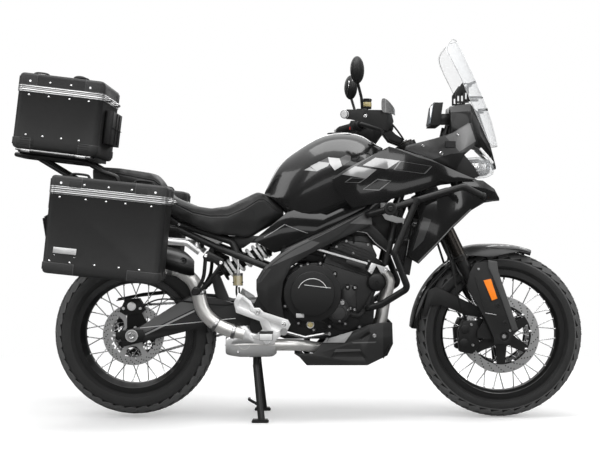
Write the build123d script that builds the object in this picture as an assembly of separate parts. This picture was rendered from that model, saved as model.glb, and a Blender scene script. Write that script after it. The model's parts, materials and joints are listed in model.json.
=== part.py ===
"""Adventure motorcycle with three hard cases, standing on its centre stand.

Frame: X forward, Y to the rider's left, Z up, millimetres. The floor is Z = 0 and
the origin is under the middle of the whole length. Side outlines are lists of (x, z).
"""
from build123d import *
import os
from collections import namedtuple
from math import asin, atan2, cos, hypot, pi, radians, sin, tan

# ---------------------------------------------------------------- driving dimensions
wheelbase = 1442
front_axle_x = 790
rear_axle_x = front_axle_x - wheelbase
front_tyre_radius = 329
rear_tyre_radius = 321
rear_wheel_lift = 10            # the centre stand holds the rear tyre off the floor
front_axle_z = front_tyre_radius
rear_axle_z = rear_tyre_radius + rear_wheel_lift

rake = 25.5                     # steering axis, degrees back from upright
steering_x_at_axle = 739.4      # where the steering axis passes the axle's height
fork_lead = 31                  # fork legs ahead of the steering axis, level with the axle
fork_half_spacing = 105
outer_tube_diameter = 51
inner_tube_diameter = 43
outer_tube_low_z, outer_tube_high_z = 622, 1084
lower_clamp_z, upper_clamp_z = 872, 1056

front_axle_diameter = 22
rear_axle_diameter = 25
pin_gap = 0.4                   # radial running gap at axles, stems and hinge pins
seat_gap = 0.3                  # gap between pieces that sit against each other

disc_thickness = 5
front_disc_radius = 150
front_disc_y = 62
rear_disc_radius = 120
rear_disc_y = -77
pad_gap = 5.3                   # from a disc to its caliper, each side and over the rim
rear_bracket_thickness = 7
rear_bracket_y = rear_disc_y - disc_thickness / 2 - pad_gap - rear_bracket_thickness
chain_y = 88
rear_sprocket_radius = 98
front_sprocket_centre = (-92, 425)
front_sprocket_radius = 37

pivot_centre = (-151, 400)      # swingarm pivot
pivot_shaft_radius = 10.6
shock_low, shock_high = (-334, -52, 556), (-92, -52, 692)
eye_half_width = 13
engine_half_width = 118
engine_head_half_width = 106
clutch_depth, clutch_cap_depth, small_cover_depth = 54, 78, 50
alternator_depth, alternator_cap_depth = 50, 66
arm_inner_y, arm_outer_y = 100, 126

case_wall = 4
pannier_length, pannier_width, pannier_height = 432, 228, 357
pannier_lid_height = 53
pannier_inner_y = 246
pannier_tilt = 6.0
pannier_base_centre = (-724, 566)
top_case_length, top_case_width, top_case_height = 334, 420, 289
top_case_lid_height = 60
top_case_tilt = 6.8
top_case_base_centre = (-941, 1040)
lid_gap = 0.6

handlebar_diameter = 22
handlebar_end_x, handlebar_end_z, handlebar_half_width = 169, 1165, 400

stand_pivot = (-170, 272)
stand_foot_x, stand_foot_y = -148, 160

Wheel = namedtuple("Wheel", "x z tyre_radius tyre_half_width shoulder_radius shoulder_y "
                            "bead_radius rim_half_width rim_inner_radius "
                            "hub_radius hub_right_y hub_left_y flange_radius flange_y bore")
front_wheel = Wheel(front_axle_x, front_axle_z, front_tyre_radius, 55, 303, 48,
                    241, 34, 224, 30, -66, 66, 48, 34, front_axle_diameter / 2 + pin_gap)
rear_wheel = Wheel(rear_axle_x, rear_axle_z, rear_tyre_radius, 75, 288, 68,
                   218, 56, 198, 36, -79, 94, 54, 46, rear_axle_diameter / 2 + pin_gap)
flange_thickness = 7
rim_lip_height, rim_lip_thickness = 14, 5
spokes_per_side = 18
spoke_diameter = 4
spoke_lace_angle = 52

# ---------------------------------------------------------------- shape helpers


def slab(outline, y_from, y_to):
    """Plate with a side outline of (x, z), between two y values."""
    wire = Polyline(*[(x, y_from, z) for x, z in outline], close=True)
    return extrude(make_face(wire), amount=y_to - y_from, dir=(0, 1, 0))


def plan_prism(outline, z_from, z_to):
    """Prism with a plan outline of (x, y), between two heights."""
    wire = Polyline(*[(x, y, z_from) for x, y in outline], close=True)
    return extrude(make_face(wire), amount=z_to - z_from, dir=(0, 0, 1))


def rod(start, end, diameter):
    """Round bar between two points."""
    run = Vector(*end) - Vector(*start)
    plane = Plane(origin=start, z_dir=run)
    return extrude(plane * Circle(diameter / 2), amount=run.length)


def bent_tube(route, diameter, bend):
    """Round tube along straight runs joined by arcs of radius bend."""
    path = FilletPolyline(*route, radius=bend) if len(route) > 2 else Line(*route)
    start = Plane(origin=path @ 0, z_dir=path % 0)
    return sweep(start * Circle(diameter / 2), path)


def drum(centre, y_from, y_to, radius, bore=0):
    """Cylinder or ring along Y about the point (x, z)."""
    face = Circle(radius) - Circle(bore) if bore else Circle(radius)
    plane = Plane(origin=(centre[0], y_from, centre[1]), z_dir=(0, 1, 0))
    return extrude(plane * face, amount=y_to - y_from)


def box_between(low, high):
    """Box from its lowest corner to its highest one."""
    size = [b - a for a, b in zip(low, high)]
    middle = [(a + b) / 2 for a, b in zip(low, high)]
    return Pos(*middle) * Box(*size)


def both_sides(shape):
    """The shape and its mirror image on the other side of the bike."""
    return shape + mirror(shape, about=Plane.XZ)


def offset_path(path, distance):
    """The path moved to its left by distance, with mitred corners."""
    moved = []
    for i, point in enumerate(path):
        before = path[i - 1] if i else None
        after = path[i + 1] if i + 1 < len(path) else None
        normals = []
        for a, b in ((before, point), (point, after)):
            if a is None or b is None:
                continue
            length = hypot(b[0] - a[0], b[1] - a[1])
            normals.append((-(b[1] - a[1]) / length, (b[0] - a[0]) / length))
        nx = sum(n[0] for n in normals) / len(normals)
        ny = sum(n[1] for n in normals) / len(normals)
        scale = distance / (nx * nx + ny * ny)
        moved.append((point[0] + nx * scale, point[1] + ny * scale))
    return moved


def strip(path, thickness):
    """Closed outline of a sheet that lies to the left of the path."""
    return list(path) + offset_path(path, thickness)[::-1]


def panel(side_outline, plan_path, thickness):
    """Upright sheet that bends in plan along (x, y) points, cut to a side outline."""
    low = min(z for _, z in side_outline) - 1
    high = max(z for _, z in side_outline) + 1
    reach = max(abs(y) for _, y in plan_path) + abs(thickness) + 1
    sheet = plan_prism(strip(plan_path, thickness), low, high)
    return sheet & slab(side_outline, -reach, reach)


def revolved_ring(section):
    """Ring about the Y axis at the origin from a face in the YZ plane."""
    return revolve(section, Axis.Y, 360)


def ring_face(points):
    """Face in the YZ plane from (y, radius) points."""
    return make_face(Polyline(*[(0, y, r) for y, r in points], close=True))


def at_wheel(wheel, shape):
    return Pos(wheel.x, 0, wheel.z) * shape


def rake_shift(z):
    """How far the steering axis moves back from the axle's height up to z."""
    return (z - front_axle_z) * tan(radians(rake))


def on_steering_axis(z, y=0):
    return (steering_x_at_axle - rake_shift(z), y, z)


def on_fork_leg(z, y=fork_half_spacing):
    return (steering_x_at_axle + fork_lead - rake_shift(z), y, z)


def mirrored_outline(half):
    """Closed (y, z) outline from its right half, listed from top to bottom."""
    return [(y, z) for y, z in half] + [(-y, z) for y, z in half[::-1]]


def loft_along_x(stations):
    """Loft of symmetric sections: each row is (x, [(half width, z) top to bottom])."""
    faces = []
    for x, half in stations:
        outline = [(x, y, z) for y, z in mirrored_outline(half)]
        faces.append(make_face(Polyline(*outline, close=True)))
    return loft(faces, ruled=True)


# ---------------------------------------------------------------- wheels


def tyre(w):
    foot_y = w.rim_half_width - seat_gap
    foot_r = w.bead_radius + seat_gap
    lip_r = w.bead_radius + rim_lip_height + 1
    side_r = (lip_r + w.shoulder_radius) / 2
    outline = [
        Line((0, -foot_y, foot_r), (0, foot_y, foot_r)),
        Line((0, foot_y, foot_r), (0, foot_y, lip_r)),
        ThreePointArc((0, foot_y, lip_r), (0, w.tyre_half_width - 1, side_r),
                      (0, w.shoulder_y, w.shoulder_radius)),
        ThreePointArc((0, w.shoulder_y, w.shoulder_radius), (0, 0, w.tyre_radius),
                      (0, -w.shoulder_y, w.shoulder_radius)),
        ThreePointArc((0, -w.shoulder_y, w.shoulder_radius),
                      (0, 1 - w.tyre_half_width, side_r), (0, -foot_y, lip_r)),
        Line((0, -foot_y, lip_r), (0, -foot_y, foot_r)),
    ]
    return at_wheel(w, revolved_ring(make_face(Curve() + outline)))


def rim(w):
    lip_r = w.bead_radius + rim_lip_height
    lip_y = w.rim_half_width + rim_lip_thickness
    drop_y, well_y = w.rim_half_width * 0.45, 18
    half = [(lip_y, w.bead_radius - 6), (lip_y, lip_r), (w.rim_half_width, lip_r),
            (w.rim_half_width, w.bead_radius), (drop_y, w.rim_inner_radius + 6)]
    under = [(w.rim_half_width - 2, w.bead_radius - 8), (well_y, w.rim_inner_radius)]
    points = half + [(-y, r) for y, r in half[::-1]]
    points += [(-y, r) for y, r in under] + under[::-1]
    return at_wheel(w, revolved_ring(ring_face(points)))


def spokes(w):
    """Crossed spokes: half lie on the outer face of each flange, half on the inner."""
    laid = []
    hub_r = w.flange_radius - 1.5
    stand_off = flange_thickness / 2 + spoke_diameter / 2 + 1.0
    pair_angle = 720 / spokes_per_side
    for side in (-1, 1):
        for i in range(spokes_per_side):
            outer = 1 if i % 2 else -1
            rim_angle = radians((i // 2) * pair_angle + outer * 5 + (side + 1) * pair_angle / 4)
            hub_angle = rim_angle + outer * radians(spoke_lace_angle)
            hub_end = Vector(hub_r * cos(hub_angle), side * (w.flange_y + outer * stand_off),
                             hub_r * sin(hub_angle))
            rim_y = side * (9 + outer * 5)
            rim_r = w.rim_inner_radius
            rim_end = Vector(rim_r * cos(rim_angle), rim_y, rim_r * sin(rim_angle))
            run = (rim_end - hub_end).normalized()
            outward = Vector(cos(rim_angle), 0, sin(rim_angle))
            slope = run.dot(outward)
            corner = spoke_diameter / 2 * (1 - slope * slope) ** 0.5
            rim_end = rim_end - run * ((corner + seat_gap) / slope)
            laid.append(at_wheel(w, rod(hub_end, rim_end, spoke_diameter)))
    return Compound(children=laid)


def hub(w):
    body = drum((0, 0), w.hub_right_y, w.hub_left_y, w.hub_radius)
    for side in (-1, 1):
        middle = side * w.flange_y
        body += drum((0, 0), middle - flange_thickness / 2, middle + flange_thickness / 2,
                     w.flange_radius)
    return body - drum((0, 0), w.hub_right_y - 1, w.hub_left_y + 1, w.bore)


front_disc_inner_radius = 117
rear_disc_inner_radius = 88


def front_hub():
    """Hub with two webbed carriers for the discs."""
    w = front_wheel
    body = hub(w)
    carrier_r = front_disc_inner_radius - seat_gap
    for side in (-1, 1):
        low = side * front_disc_y - disc_thickness / 2
        carrier = drum((0, 0), low, low + disc_thickness, carrier_r, w.bore)
        for i in range(6):
            window = [(50, -4), (104, -42), (110, 0), (104, 42), (50, 4)]
            cut = Rot(0, i * 60, 0) * slab(window, low - 1, low + disc_thickness + 1)
            carrier -= cut
        body += carrier
    return at_wheel(w, body)


def front_discs():
    low = front_disc_y - disc_thickness / 2
    disc = drum((front_axle_x, front_axle_z), low, low + disc_thickness,
                front_disc_radius, front_disc_inner_radius)
    return both_sides(disc)


def rear_hub():
    return at_wheel(rear_wheel, hub(rear_wheel))


def rear_disc():
    """Drilled ring with six arms that reach the hub."""
    low = rear_disc_y - disc_thickness / 2
    disc = drum((0, 0), low, low + disc_thickness, rear_disc_radius,
                rear_wheel.hub_radius + seat_gap)
    for i in range(6):
        window = [(46, -10), (60, -26), (84, -34), (88, 0), (84, 34), (60, 26), (46, 10)]
        disc -= Rot(0, i * 60 + 30, 0) * slab(window, low - 1, low + disc_thickness + 1)
    return at_wheel(rear_wheel, disc)


def rear_sprocket():
    ring = drum((0, 0), chain_y - 3, chain_y + 3, rear_sprocket_radius,
                rear_wheel.hub_radius + seat_gap)
    for i in range(6):
        hole = (64 * cos(i * pi / 3), 64 * sin(i * pi / 3))
        ring -= drum(hole, chain_y - 4, chain_y + 4, 20)
    return at_wheel(rear_wheel, ring)


def front_axle():
    reach = fork_half_spacing + 32
    axle = drum((front_axle_x, front_axle_z), -reach, reach, front_axle_diameter / 2)
    return axle


def rear_axle():
    centre = (rear_axle_x, rear_axle_z)
    axle = drum(centre, -arm_outer_y - 22, arm_outer_y + 22, rear_axle_diameter / 2)
    nut = drum(centre, arm_outer_y + seat_gap, arm_outer_y + 18, 21)
    left_spacer = drum(centre, rear_wheel.hub_left_y + 1, arm_inner_y - seat_gap, 19)
    right_spacer = drum(centre, seat_gap - arm_inner_y, rear_bracket_y - seat_gap, 19)
    return axle + both_sides(nut) + left_spacer + right_spacer


# ---------------------------------------------------------------- steering group


def fork_outer_tubes():
    leg = rod(on_fork_leg(outer_tube_low_z), on_fork_leg(outer_tube_high_z),
              outer_tube_diameter)
    return both_sides(leg)


fork_foot_top_z = 420


def fork_inner_tubes():
    leg = rod(on_fork_leg(fork_foot_top_z + seat_gap), on_fork_leg(outer_tube_low_z - seat_gap),
              inner_tube_diameter)
    return both_sides(leg)


def fork_feet():
    """Castings at the bottom of the legs that hold the axle and the calipers."""
    x, z = front_axle_x, front_axle_z
    foot = rod(on_fork_leg(z - 20), on_fork_leg(fork_foot_top_z), 50)
    foot += drum((x, z), fork_half_spacing - 24, fork_half_spacing + 24, 33)
    tab = [(x - 20, z + 40), (x - 70, z + 62), (x - 100, z + 20), (x - 100, z - 8),
           (x - 60, z - 12), (x - 8, z - 20)]
    foot += slab(tab, fork_half_spacing - 7, fork_half_spacing + 7)
    foot -= drum((x, z), 0, fork_half_spacing + 60, front_axle_diameter / 2 + pin_gap)
    return both_sides(foot)


def triple_clamps():
    """Both fork clamps joined by the steering stem."""
    stem = rod(on_steering_axis(lower_clamp_z - 20), on_steering_axis(upper_clamp_z + 12), 30)
    body = stem
    tilted = Rot(0, -rake, 0)
    for z, thickness, back in ((lower_clamp_z, 32, 34), (upper_clamp_z, 24, 30)):
        lead = fork_lead * cos(radians(rake))
        plan = [(-back, -26), (-18, -70), (lead - 20, -fork_half_spacing),
                (lead + 20, -fork_half_spacing), (lead + 22, -60), (lead + 22, 60),
                (lead + 20, fork_half_spacing), (lead - 20, fork_half_spacing),
                (-18, 70), (-back, 26)]
        plate = plan_prism(plan, -thickness / 2, thickness / 2)
        for side in (-1, 1):
            plate += Pos(lead, side * fork_half_spacing, 0) * Cylinder(36, thickness)
        body += Pos(*on_steering_axis(z)) * tilted * plate
    top = upper_clamp_z + 40
    for side in (-1, 1):
        body -= rod(on_fork_leg(lower_clamp_z - 60, side * fork_half_spacing),
                    on_fork_leg(top, side * fork_half_spacing),
                    outer_tube_diameter + 2 * seat_gap)
    return body


bar_route = [(handlebar_end_x, -handlebar_half_width, handlebar_end_z), (262, -215, 1178),
             (346, -88, 1142), (346, 88, 1142), (262, 215, 1178),
             (handlebar_end_x, handlebar_half_width, handlebar_end_z)]


def handlebar():
    return bent_tube(bar_route, handlebar_diameter, 45)


def bar_risers():
    """Two posts on the upper clamp that hold the bar's middle."""
    post = slab([(326, 1126), (360, 1126), (452, 1070), (420, 1066), (352, 1092)], 34, 62)
    post += drum((346, 1142), 34, 62, 21)
    post -= drum((346, 1142), 20, 80, handlebar_diameter / 2 + seat_gap)
    upper_face = Pos(*on_steering_axis(upper_clamp_z)) * Rot(0, -rake, 0)
    post -= upper_face * Pos(0, 0, -40 + 12 + seat_gap) * Box(400, 400, 80)
    for reach in (0, 1):
        post -= rod(on_fork_leg(upper_clamp_z - 60), on_fork_leg(outer_tube_high_z + 20 * reach),
                    outer_tube_diameter + 2 * pin_gap)
    return both_sides(post)


grip_diameter = 34


def along_bar(distance, side=-1):
    """Point on the bar's outer run, measured in from its end, on one side."""
    end, knee = Vector(*bar_route[0]), Vector(*bar_route[1])
    point = end + (knee - end).normalized() * distance
    return (point.X, side * abs(point.Y), point.Z)


def bar_sleeve(start, stop, diameter):
    sleeve = rod(along_bar(start), along_bar(stop), diameter)
    bore = rod(along_bar(start - 5), along_bar(stop + 5), handlebar_diameter + 2 * seat_gap)
    return sleeve - bore


def grips():
    return both_sides(bar_sleeve(8, 125, grip_diameter))


def switch_housings():
    return both_sides(bar_sleeve(126, 165, 44))


def brake_and_clutch_levers():
    """Perch, blade and, on the right, the fluid reservoir."""
    perch = bar_sleeve(166, 186, 36)
    blade_start = Vector(*along_bar(176)) + Vector(34, 0, -4)
    blade_end = Vector(*along_bar(20)) + Vector(62, 0, -14)
    perch += rod(along_bar(176), blade_start, 14)
    perch -= rod(along_bar(160), along_bar(190), handlebar_diameter + 2 * seat_gap)
    perch += rod(blade_start, blade_end, 12)
    return both_sides(perch)


def front_brake_reservoir():
    x, y, z = along_bar(180)
    cup = Pos(x + 2, y, z + 40) * Cylinder(19, 34)
    return cup + Pos(x + 2, y, z + 21) * Box(14, 14, 6)


def mirrors():
    """Stalk from the perch and a shallow oval housing."""
    x, y, z = along_bar(146)
    stalk = bent_tube([(x, y, z + 23), (x - 4, y - 8, z + 66), (214, -296, 1300)], 11, 25)
    oval = Pos(214, -300, 1340) * Rot(0, 0, -8) * scale(Sphere(50), (0.52, 1.2, 1.02))
    return both_sides(stalk + oval)


def hand_guards():
    """Wind guards in front of the grips, fixed at the bar ends."""
    side = [(170, 1182), (239, 1180), (338, 1183), (351, 1146), (324, 1106), (239, 1132),
            (165, 1150)]
    plan = [(168, -414), (232, -424), (318, -386), (350, -300), (352, -236)]
    guard = panel(side, plan, 5)
    guard += rod(along_bar(-seat_gap), along_bar(-19), 30)
    inner = Vector(*along_bar(192))
    arm = bent_tube([(inner.X + 16.4, inner.Y, inner.Z), (318, -226, 1160), (350, -250, 1150)],
                    9, 10)
    return both_sides(guard + arm)


guard_radius, guard_thickness = 352, 3.5
guard_half_width = 66


def front_mudguard():
    """Channel over the tyre with skirts and two lugs that reach the fork."""
    r, t, half, skirt = guard_radius, guard_thickness, guard_half_width, 22
    section = [(-half, r - skirt), (-half, r - 8), (-half + 14, r), (half - 14, r),
               (half, r - 8), (half, r - skirt), (half - t, r - skirt), (half - t, r - 9),
               (half - 15, r - t), (15 - half, r - t), (t - half, r - 9), (t - half, r - skirt)]
    start_angle, sweep_angle = 70, 106
    arc = revolve(ring_face(section), Axis.Y, -sweep_angle)
    arc = Rot(0, 90 - start_angle, 0) * arc
    body = at_wheel(front_wheel, arc)
    lug_top = on_fork_leg(600)[0]
    lug_low = on_fork_leg(520)[0]
    lug = slab([(lug_top - 50, 646), (lug_top + 6, 646), (lug_top + 26, 590), (lug_low + 20, 530),
                (lug_low - 44, 530)], guard_half_width - 2, fork_half_spacing - 12)
    lug -= rod(on_fork_leg(480), on_fork_leg(outer_tube_low_z), inner_tube_diameter + 2 * seat_gap)
    lug -= rod(on_fork_leg(outer_tube_low_z - 14), on_fork_leg(720), outer_tube_diameter + 2)
    return body + both_sides(lug)


def fork_guards():
    """Covers on the outer side of each leg, from the tubes down past the axle."""
    outline = [(676, 612), (722, 618), (836, 351), (800, 300), (752, 300), (748, 330),
               (717, 397), (645, 521), (656, 575)]
    guard = slab(outline, fork_half_spacing + 4, fork_half_spacing + 37)
    guard -= rod(on_fork_leg(260), on_fork_leg(700), 52)
    guard -= drum((front_axle_x, front_axle_z), 60, fork_half_spacing + 25, 36)
    guard -= drum((front_axle_x, front_axle_z), 60, fork_half_spacing + 60, 17)
    return both_sides(guard)


def front_brake_calipers():
    """Blocks that bridge each disc behind the fork legs."""
    x, z = front_axle_x - 128, front_axle_z - 6
    outline = [(x - 38, z - 58), (x + 12, z - 66), (x + 34, z - 40), (x + 40, z + 30),
               (x + 26, z + 62), (x - 24, z + 64), (x - 44, z + 20)]
    disc_low = front_disc_y - disc_thickness / 2 - pad_gap
    disc_high = front_disc_y + disc_thickness / 2 + pad_gap
    body = slab(outline, disc_low - 13.5, fork_half_spacing - 7 - seat_gap)
    slot = drum((front_axle_x, front_axle_z), disc_low, disc_high, front_disc_radius + pad_gap)
    body -= slot
    body -= rod(on_fork_leg(200), on_fork_leg(600), 52)
    body -= drum((front_axle_x, front_axle_z), 0, 200, 60)
    return both_sides(body)


def front_brake_hoses():
    """Hoses from the lower clamp to the calipers, clear of the wheel."""
    route = [(512, -46, 842), (520, -60, 760), (560, -128, 690), (590, -142, 600),
             (606, -142, 500), (628, -112, 430), (650, -88, 389.6)]
    return both_sides(bent_tube(route, 9, 34))


# ---------------------------------------------------------------- frame and engine

beam_route = [(432, 20, 962), (362, 78, 890), (262, 140, 805), (100, 148, 722),
              (-52, 146, 652), (-124, 142, 560), (-140, 142, 474)]
plate_inner_y, plate_outer_y = arm_outer_y + 1, arm_outer_y + 8


beam_diameter = 38
head_tube_diameter = 64


def head_tube(diameter):
    return rod(on_steering_axis(lower_clamp_z + 24), on_steering_axis(upper_clamp_z - 20),
               diameter)


def main_frame():
    """Head tube, two side beams, pivot plates, cross tubes and stand lugs."""
    head_room = head_tube(head_tube_diameter + 2 * seat_gap)
    beams = both_sides(bent_tube(beam_route, beam_diameter, 40) - head_room)
    plate = slab([(-122, 492), (-106, 440), (-108, 360), (-128, 250), (-196, 248),
                  (-204, 300), (-186, 440), (-160, 492)], plate_inner_y, plate_outer_y)
    cross_upper = rod((-60, 0, 655), (-60, 146, 655), 30)
    cross_lower = rod((-158, 0, 318), (-158, plate_inner_y, 318), 26)
    down = bent_tube([(420, 16, 930), (382, 84, 836), (352, 128, 700), (330, 128, 606)], 26, 30)
    engine_boss = rod((318, engine_head_half_width - 10, 604), (330, engine_head_half_width + 12, 608), 18)
    engine_boss -= box_between((280, 0, 570), (360, engine_head_half_width + seat_gap, 640))
    tank_rest = rod((262, 0, 812), (262, 140, 812), 22) + rod((262, 56, 812), (262, 56, 900), 18)
    stand_pin = drum(stand_pivot, 92, plate_outer_y - 2, 7)
    pivot_shaft = drum(pivot_centre, 0, plate_outer_y - 1, pivot_shaft_radius)
    half = plate + cross_upper + cross_lower + down - head_room
    half += engine_boss + tank_rest + stand_pin + pivot_shaft
    half -= bent_tube(beam_route, beam_diameter + 2 * seat_gap, 40)
    frame = both_sides(half) + shock_mount() + beams + head_tube(head_tube_diameter)
    frame -= Pos(0, 0, -seat_gap) * fuel_tank()
    frame -= rod(on_steering_axis(lower_clamp_z - 40), on_steering_axis(upper_clamp_z + 40),
                 30 + 2 * pin_gap)
    return frame


def shock_mount():
    """Two ears on the upper cross tube that hold the shock's top eye."""
    outline = [(-108, 702), (-84, 710), (-46, 662), (-64, 642)]
    y = shock_high[1]
    outer = slab(outline, y - eye_half_width - 9, y - eye_half_width - seat_gap)
    return outer + slab(outline, y + eye_half_width + seat_gap, y + eye_half_width + 9)


head_outline = [(84, 580), (286, 500), (330, 606), (288, 640), (280, 716), (152, 722),
                (104, 650)]


def engine_block():
    """Crankcase, leaning cylinders and head in one plain block."""
    crankcase = slab([(-112, 470), (-112, 340), (-60, 318), (232, 318), (284, 346),
                      (290, 470), (262, 560), (96, 612), (-8, 606), (-84, 560)],
                     -engine_half_width, engine_half_width)
    cylinders = slab(head_outline, -engine_head_half_width, engine_head_half_width)
    pocket = slab([(-150, 500), (-150, 360), (-34, 360), (-34, 500)], 66, engine_half_width + 1)
    return crankcase + cylinders - pocket


clutch_centre = (48, 497)


def clutch_cover():
    face, rim_y = -engine_half_width - seat_gap, -engine_half_width - clutch_depth
    cover = drum(clutch_centre, rim_y, face, 110)
    cover += drum(clutch_centre, -engine_half_width - clutch_cap_depth, rim_y, 84)
    return cover + drum((149, 427), -engine_half_width - small_cover_depth, face, 44)


def alternator_cover():
    rim_y = engine_half_width + alternator_depth
    cover = drum(clutch_centre, engine_half_width + seat_gap, rim_y, 96)
    return cover + drum(clutch_centre, rim_y, engine_half_width + alternator_cap_depth, 70)


def sprocket_cover():
    """Cover over the front sprocket on the left."""
    return slab([(-122, 478), (-122, 378), (-60, 372), (-33, 420), (-52, 478)],
                engine_half_width - 20, engine_half_width - 1)


def radiator():
    core = slab([(434, 761), (454, 750), (423, 566), (393, 572)], -158, 158)
    return core + both_sides(rod((366.8, 128, 700), (426, 128, 700), 14))


def radiator_fan_shroud():
    return slab([(405, 755), (433, 755), (406, 620), (378, 620)], -92, 92)


pipe_diameter = 42
tail_diameter = 46
link_diameter = 50
exhaust_y = plate_outer_y + 19
tail_route = [(165, -70, 274), (70, -84, 278), (8, 10 - exhaust_y, 298),
              (-88, 1 - exhaust_y, 298)]
link_route = [(-250, -exhaust_y, 352), (-330, -exhaust_y, 408), (-392, -exhaust_y - 2, 490),
              (-430, -exhaust_y - 5, 556), (-500, -exhaust_y - 7, 590)]
collector_outline = [(-285, 326), (-285, 268), (-265, 252), (-105, 252), (-86, 269),
                     (-86, 322), (-214, 358)]


def exhaust_headers():
    """Two header pipes that join under the engine and run back to the box."""
    routes = []
    for y in (-64, 56):
        routes.append([(300, y, 590), (348, y, 560), (333, y, 470), (322, y, 350),
                       (266, -60 + (y + 64) * 0.35, 276), (150, -70, 274)])
    body = bent_tube(routes[0], pipe_diameter, 36) + bent_tube(routes[1], pipe_diameter, 36)
    body += bent_tube(tail_route, tail_diameter, 36)
    return body - Pos(seat_gap, 0, 0) * slab(head_outline, -120, 120)


def collector_box():
    """Silver box and the pipe that rises from it to the silencer."""
    box = slab(collector_outline, -exhaust_y - 19, 13 - exhaust_y)
    return box + bent_tube(link_route, link_diameter, 45)


silencer_front, silencer_rear = (-470, -exhaust_y - 7, 612), (-850, -exhaust_y - 11, 700)


def silencer():
    body = rod(silencer_front, silencer_rear, 102)
    cone = rod((-416, -exhaust_y - 6, 600), silencer_front, 84)
    tail = rod(silencer_rear, (-900, -exhaust_y - 12, 712), 46)
    return body + cone + tail - bent_tube(link_route, link_diameter + 2 * seat_gap, 45)


def skid_plate():
    """Bash plate: a floor bent to the side outline between two cheeks."""
    lower = [(-22, 262), (-2, 249), (26, 217), (261, 217), (338, 255), (360, 300), (357, 381)]
    floor = slab(strip(lower, 5), -138, 138)
    cheek = slab(lower + [(331, 384), (267, 374), (209, 351), (100, 318), (49, 262)], 133, 138)
    for x, z in ((154, 322), (212, 326)):
        cheek += box_between((x, engine_half_width + seat_gap, z), (x + 16, 134, z + 14))
    plate = floor + both_sides(cheek)
    plate -= box_between((0, 120, 236), (62, 150, 300))
    return plate - bent_tube(tail_route, tail_diameter + 6, 36)


# ---------------------------------------------------------------- body panels and seats


def fuel_tank():
    stations = [
        (-139, [(26, 889), (52, 886), (58, 882), (50, 879)]),
        (-82, [(46, 993), (88, 950), (104, 880), (78, 838)]),
        (-16, [(56, 1049), (112, 1000), (136, 920), (104, 792)]),
        (97, [(72, 1112), (136, 1062), (168, 980), (112, 790)]),
        (222, [(72, 1115), (140, 1058), (180, 985), (110, 850)]),
        (284, [(60, 1085), (118, 1040), (160, 975), (98, 892)]),
        (326, [(30, 1066), (44, 1050), (50, 1000), (44, 930)]),
    ]
    tank = loft_along_x(stations)
    tank -= drum_on_top(fuel_cap_radius + 26, 6)
    return tank


fuel_cap_x, fuel_cap_z, fuel_cap_radius = 150, 1114, 42


def drum_on_top(radius, depth):
    """Flat seat for the filler on the tank's top."""
    return Pos(fuel_cap_x, 0, fuel_cap_z + 20 - depth / 2) * Cylinder(radius, 40)


def fuel_filler_ring():
    base_z = fuel_cap_z - 3
    ring = Pos(fuel_cap_x, 0, base_z + 3 + seat_gap) * Cylinder(fuel_cap_radius + 10, 6)
    hinge = box_between((fuel_cap_x + 50, -14, base_z + seat_gap), (fuel_cap_x + 64, 14, base_z + 6))
    return ring + hinge


def fuel_cap():
    """Lid that turns up about a pin at its front edge."""
    base_z = fuel_cap_z + 3 + 2 * seat_gap
    lid = Pos(fuel_cap_x, 0, base_z + 4) * Cylinder(fuel_cap_radius, 8)
    return lid + box_between((fuel_cap_x + 30, -9, base_z), (fuel_cap_x + 56, 9, base_z + 8))


seat_outline = [(-529, 912), (-509, 871), (-478, 855), (-412, 828), (-346, 818), (-280, 828),
                (-214, 861), (-161, 889), (-146, 886), (-139, 878.4), (-82, 837.4), (-60, 822),
                (-60, 795), (-196, 707),
                (-247, 711), (-338, 723), (-466, 776), (-522, 816)]


def rider_seat():
    plan = [(-540, -128), (-420, -168), (-300, -160), (-180, -112), (-40, -84),
            (-40, 84), (-180, 112), (-300, 160), (-420, 168), (-540, 128)]
    pad = slab(seat_outline, -180, 180) & plan_prism(plan, 690, 930)
    rails = plan_prism([(-560, -115), (-240, -123), (-240, 123), (-560, 115)], 690, 780)
    return pad - rails


def pillion_seat():
    outline = [(-824, 988), (-700, 978), (-566, 956), (-534, 925), (-529.6, 912), (-526.9, 875),
               (-560, 872), (-700, 906), (-820, 930)]
    plan = [(-824, -92), (-700, -128), (-560, -136), (-520, -120), (-520, 120),
            (-560, 136), (-700, 128), (-824, 92)]
    return slab(outline, -150, 150) & plan_prism(plan, 800, 1000)


upper_rail_route = [(-240, 114, 634), (-264, 108, 694), (-330, 100, 716), (-470, 100, 762),
                    (-560, 100, 822), (-850, 100, 905)]
lower_rail_route = [(-104, 142, 588), (-330, 116, 676), (-470, 114, 742)]
rail_diameter = 26


def rear_subframe():
    """Truss of upper and lower rails that carries the seats and cases."""
    upper = bent_tube(upper_rail_route, rail_diameter, 24)
    lower = bent_tube(lower_rail_route, rail_diameter, 60)
    tail = rod((-470, 114, 742), (-600, 104, 760), 22)
    strut = rod((-600, 104, 760), (-640, 100, 842), 22)
    for x, z in ((-330, 716), (-560, 820), (-846, 904)):
        strut += rod((x, 0, z), (x, 100, z), 22)
    half = upper + (strut + tail - upper_rails_with_gap() - lower_rail_with_gap())
    half += lower - upper_rails_with_gap()
    beams = bent_tube(beam_route, beam_diameter + 2 * seat_gap, 40)
    return both_sides(half - beams)


def lower_rail_with_gap():
    return bent_tube(lower_rail_route, rail_diameter + 2 * seat_gap, 60)


def upper_rails_with_gap():
    return bent_tube(upper_rail_route, rail_diameter + 2 * seat_gap, 24)


tail_half_width = 86.5


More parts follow.
